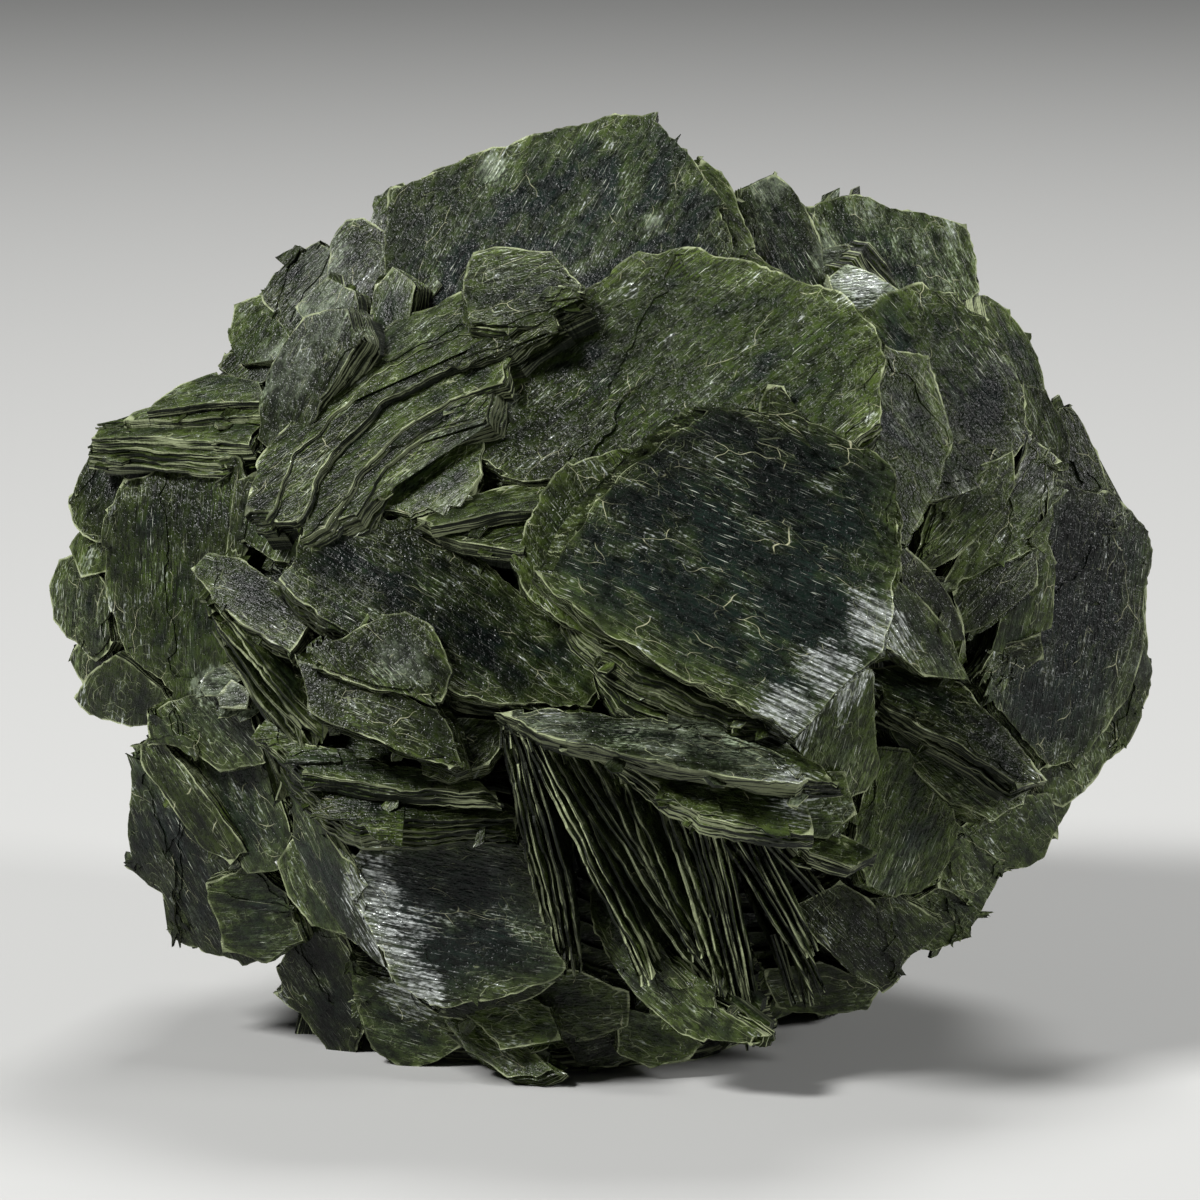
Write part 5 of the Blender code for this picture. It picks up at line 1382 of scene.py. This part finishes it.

# %% [markdown]
# ## The colour of a face
# A thick leaf looks blue-black and a thin or broken one olive, so the colour goes from one to the
# other by the crystal's greenness, and towards a lighter olive at the rim. Weathered places are pale
# green. Where silky streaks cluster, glints are painted on. The lines come on top, then a pale rim
# light painted along each free rim, and last a silvery sheen painted in fine streaks on the silvery places.

# %% The colour of a face
BLUE_BLACK = (0.0042, 0.0088, 0.0064, 1.0)
OLIVE = (0.0210, 0.0340, 0.0046, 1.0)
RIM_OLIVE = (0.0700, 0.0950, 0.0220, 1.0)
PALE_GREEN = (0.1200, 0.1460, 0.0960, 1.0)
SCRATCH_WHITE = (0.5500, 0.5800, 0.4800, 1.0)
CRACK_CREAM = (0.5000, 0.5000, 0.3200, 1.0)
PAINTED_SHEEN = (0.7600, 0.8000, 0.7800, 1.0)
PALE_LINES_AND_RIM_LIGHT = (0.3300, 0.3700, 0.2100, 1.0)
HALF = 0.5
PATCHY_GREEN, GREEN_RIM, GREEN_STEP = 2.6, 0.15, (0.15, 1.0)
PATCHY_PALE, GRITTY_PALE, PALE_STEP = 2.2, 0.5, (0.35, 0.95)
SHADE_LEAST, SHADE_MOTTLE, SHADE_SILK = 0.2, 0.80, 0.2
TONE_LEAST, TONE_MORE = 0.5, 0.7
BUSY_GLINTS = 2.2
TERRACE_SHOWS, CONTOUR_SHOWS, SCRATCH_SHOWS, CRACK_SHOWS = 0.35, 0.7, 0.75, 0.75
RIM_LIGHT_STEP, RIM_LIGHT_LEAST, RIM_LIGHT_MORE, RIM_LIGHT_PLACES = (0.010, 0.040), 0.2, 0.7, (0.46, 0.58)
PATCHY_SILVER, SILKY_SILVER, GRITTY_SILVER, SILVER_STEP = 2.4, 0.5, 0.4, (0.35, 1.15)
SILVER_LEAST, SILVER_SILK, SILVER_GRIT = 0.06, 0.22, 0.72


def face_colour(tree, marks):
    """The colour of the broad faces."""
    patches, silk, grit = marks.patches, marks.silk, marks.grit
    greenness = marks.green + (patches - HALF) * PATCHY_GREEN + (1.0 - marks.rim) * GREEN_RIM
    face = blend(tree, step(tree, greenness, *GREEN_STEP), BLUE_BLACK, OLIVE)
    face = blend(tree, (1.0 - marks.rim) ** 3.0 * patches, face, RIM_OLIVE)
    weathered = marks.pale + (patches - HALF) * PATCHY_PALE + (grit - HALF) * GRITTY_PALE
    face = blend(tree, step(tree, weathered, *PALE_STEP), face, PALE_GREEN)
    # The stone's own mottle and tone, plus glints painted in where silky and gritty streaks cluster.
    mottle_and_glints = ((SHADE_LEAST + marks.mottle * SHADE_MOTTLE + silk * SHADE_SILK)
               * (TONE_LEAST + marks.tone * TONE_MORE) + marks.busy * silk * grit * BUSY_GLINTS)
    face = add_node(tree, "ShaderNodeVectorMath", {"operation": "SCALE"}, {0: face, "Scale": mottle_and_glints})
    face = blend(tree, marks.terrace * TERRACE_SHOWS + marks.contour * CONTOUR_SHOWS, face, PALE_LINES_AND_RIM_LIGHT)
    face = blend(tree, marks.scratch * SCRATCH_SHOWS, face, SCRATCH_WHITE)
    face = blend(tree, marks.crack * CRACK_SHOWS, face, CRACK_CREAM)
    # A thin pale rim light is painted along the free rims, where light comes through the thin edge.
    rim_light = RIM_LIGHT_LEAST + step(tree, patches, *RIM_LIGHT_PLACES) * RIM_LIGHT_MORE
    face = blend(tree, (1.0 - step(tree, marks.rim, *RIM_LIGHT_STEP)) * rim_light, face, PALE_LINES_AND_RIM_LIGHT)
    # The silvery places: a sheen painted into the colour in fine streaks, with some metallic gloss as well.
    sheen_level = (marks.silver + (patches - HALF) * PATCHY_SILVER + (silk - HALF) * SILKY_SILVER
             + (grit - HALF) * GRITTY_SILVER)
    marks.bright = step(tree, sheen_level, *SILVER_STEP)
    streaks = SILVER_LEAST + silk * SILVER_SILK + silk * grit * SILVER_GRIT
    return blend(tree, marks.bright * streaks, face, PAINTED_SHEEN)


print("face colours:", [tuple(round(part, 3) for part in colour[:3]) for colour in (BLUE_BLACK, OLIVE)])

# %% [markdown]
# ## The colour of a broken rim
# The rim of a book shows the edges of its leaves, dark gaps between pale lines. The leaves of the mesh
# make the broad lines. A noise that is flat along the leaf and quick across it adds the finer ones.
# Down in the gaps between crystals the rims are painted dark, as shade.

# %% The colour of a broken rim
BROKEN_DARK_AND_GAP_SHADE = (0.0050, 0.0075, 0.0032, 1.0)
LINES_PATCHY, LINES_PALE, LINES_STEP = 0.5, 0.15, (0.50, 0.66)
LINES_LEAST, LINES_TONE = 0.4, 0.6
GAP_SHADE_STEP = (0.10, 0.60)


def broken_colour(tree, marks):
    """The colour of the broken rims, with shade painted in dark down in the gaps between crystals."""
    lines = marks.pages + (marks.patches - HALF) * LINES_PATCHY + marks.pale * LINES_PALE
    amount = step(tree, lines, *LINES_STEP) * (LINES_LEAST + marks.tone * LINES_TONE)
    broken = blend(tree, amount, BROKEN_DARK_AND_GAP_SHADE, PALE_LINES_AND_RIM_LIGHT)
    # Painted shade: rims that lie deep in the gaps between crystals turn dark.
    return blend(tree, step(tree, marks.rim, *GAP_SHADE_STEP), broken, BROKEN_DARK_AND_GAP_SHADE)


print("rim colours:", [tuple(round(part, 3) for part in colour[:3]) for colour in (BROKEN_DARK_AND_GAP_SHADE, PALE_LINES_AND_RIM_LIGHT)])

# %% [markdown]
# ## The finish of chlorite
# Chlorite is waxy to silky. The shader's own gloss is low, and a second, smoother coat lies only on the
# silky streaks, so they glint while the ground between them stays dark. Bumps follow the same
# patterns as the colours, so that a line which is seen is also felt.

# %% The finish of chlorite
BUMP_DEPTH, BUMP_STRENGTH = 0.00035, 0.9
TERRACE_BUMP, SILK_BUMP, MOTTLE_BUMP, LEAF_BUMP = 0.22, 0.12, 0.24, 0.6
ROUGHNESS, GRIT_SMOOTHER, EDGE_ROUGHER = 0.40, 0.18, 0.20
SILVER_METALLIC = 0.35


def chlorite():
    """Waxy to silky chlorite, for faces and broken rims alike."""
    material = bpy.data.materials.new("chlorite")
    material.use_nodes = True
    tree = material.node_tree
    shader = tree.nodes["Principled BSDF"]
    marks = patterns(tree)
    add_lines(tree, marks)
    colour = blend(tree, marks.edge, face_colour(tree, marks), broken_colour(tree, marks))
    tree.links.new(colour.socket, shader.inputs["Base Color"])
    roughness = ROUGHNESS - marks.grit * GRIT_SMOOTHER + marks.edge * EDGE_ROUGHER
    tree.links.new(roughness.socket, shader.inputs["Roughness"])
    tree.links.new((marks.bright * SILVER_METALLIC).socket, shader.inputs["Metallic"])
    coat = marks.busy * marks.silk * marks.grit * (1.0 - marks.edge)
    tree.links.new(coat.socket, shader.inputs["Coat Weight"])
    steps_up = add_node(tree, "ShaderNodeMath", {"operation": "FLOOR"}, {0: marks.relief * TERRACES})
    height = (steps_up * TERRACE_BUMP + marks.silk * SILK_BUMP + marks.mottle * MOTTLE_BUMP
              + marks.pages * marks.edge * LEAF_BUMP)
    bump = add_node(tree, "ShaderNodeBump", {},
                    {"Height": height, "Strength": BUMP_STRENGTH, "Distance": BUMP_DEPTH})
    tree.links.new(bump.socket, shader.inputs["Normal"])
    shader.inputs["IOR"].default_value = 1.45
    shader.inputs["Specular IOR Level"].default_value = 0.28
    shader.inputs["Coat IOR"].default_value = 1.6
    shader.inputs["Coat Roughness"].default_value = 0.22
    return material


finish = chlorite()
print("chlorite:", len(finish.node_tree.nodes), "nodes")

# %% [markdown]
# ## The pieces
# Each part of the rosette becomes one piece that stands for the packed rosette.

# %% The pieces
for name, leaves in parts.items():
    mesh = bpy.data.meshes.new(name)
    leaves.to_mesh(mesh)
    leaves.free()
    mesh.materials.append(finish)
    piece = bpy.data.objects.new(name, mesh)
    bpy.context.scene.collection.objects.link(piece)
    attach(piece, "root")
    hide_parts("chlorite_rosette")
    mesh.calc_loop_triangles()
    print(name, len(mesh.loop_triangles), "triangles")

# %% [markdown]
# ## The floor
# The rosette stands on a sheet of pale paper that is large enough to fill the view.

# %% The floor
FLOOR_SIZE = 6.0
FLOOR_COLOUR = (0.42, 0.42, 0.41, 1.0)

floor_mesh = bpy.data.meshes.new("floor")
bm = bmesh.new()
bmesh.ops.create_grid(bm, x_segments=1, y_segments=1, size=FLOOR_SIZE / 2)
bm.to_mesh(floor_mesh)
bm.free()
floor = bpy.data.objects.new("floor", floor_mesh)
bpy.context.scene.collection.objects.link(floor)
paper = bpy.data.materials.new("pale_paper")
paper.use_nodes = True
paper_shader = paper.node_tree.nodes["Principled BSDF"]
paper_shader.inputs["Base Color"].default_value = FLOOR_COLOUR
paper_shader.inputs["Roughness"].default_value = 0.8
floor_mesh.materials.append(paper)
print("floor", FLOOR_SIZE, "m wide")

# %% [markdown]
# ## The light
# A dark stone needs strong lights and little of it from all round, or its gaps fill with grey. One
# soft light stands over the left shoulder for the faces, one low on the right whose sheen runs over
# the silvery places, and one above and behind for the outline.

# %% The light
WORLD_COLOUR = (0.80, 0.83, 0.87, 1.0)
WORLD_STRENGTH = 0.04
AIM = Vector((0.0, 0.0, 0.045))
LIGHTS = [("left softbox", (-0.80, -0.60, 1.00), 0.30, 27.0),
          ("right softbox", (0.95, -0.40, 0.55), 0.25, 8.0),
          ("top softbox", (0.15, 0.60, 1.20), 0.40, 12.0)]

world = bpy.data.worlds.new("studio")
bpy.context.scene.world = world
world.use_nodes = True
world.node_tree.nodes["Background"].inputs["Color"].default_value = WORLD_COLOUR
world.node_tree.nodes["Background"].inputs["Strength"].default_value = WORLD_STRENGTH
for name, place, size, power in LIGHTS:
    light = bpy.data.lights.new(name, "AREA")
    light.size = size
    light.energy = power
    lamp = bpy.data.objects.new(name, light)
    lamp.location = place
    lamp.rotation_euler = (AIM - Vector(place)).to_track_quat("-Z", "Y").to_euler()
    bpy.context.scene.collection.objects.link(lamp)
    print(name, power, "W")

# %% [markdown]
# ## The camera
# The camera is the eye of the front view, so every crystal shows where its outline says.

# %% The camera
CAMERA_SENSOR, CAMERA_LENS = 36.0, 180.0

camera_data = bpy.data.cameras.new("camera")
camera_data.sensor_width = CAMERA_SENSOR
camera_data.lens = CAMERA_LENS
camera_data.clip_start = 0.05
camera = bpy.data.objects.new("camera", camera_data)
camera.matrix_world = Matrix((VIEW_RIGHT, VIEW_UP, -VIEW_FORWARD)).transposed().to_4x4()
camera.location = EYE
bpy.context.scene.collection.objects.link(camera)
bpy.context.scene.camera = camera
bpy.context.scene.view_settings.view_transform = "Standard"
print("the view is", round(EYE_DISTANCE * CAMERA_SENSOR / CAMERA_LENS, 3), "m wide at the rosette")

# %% [markdown]
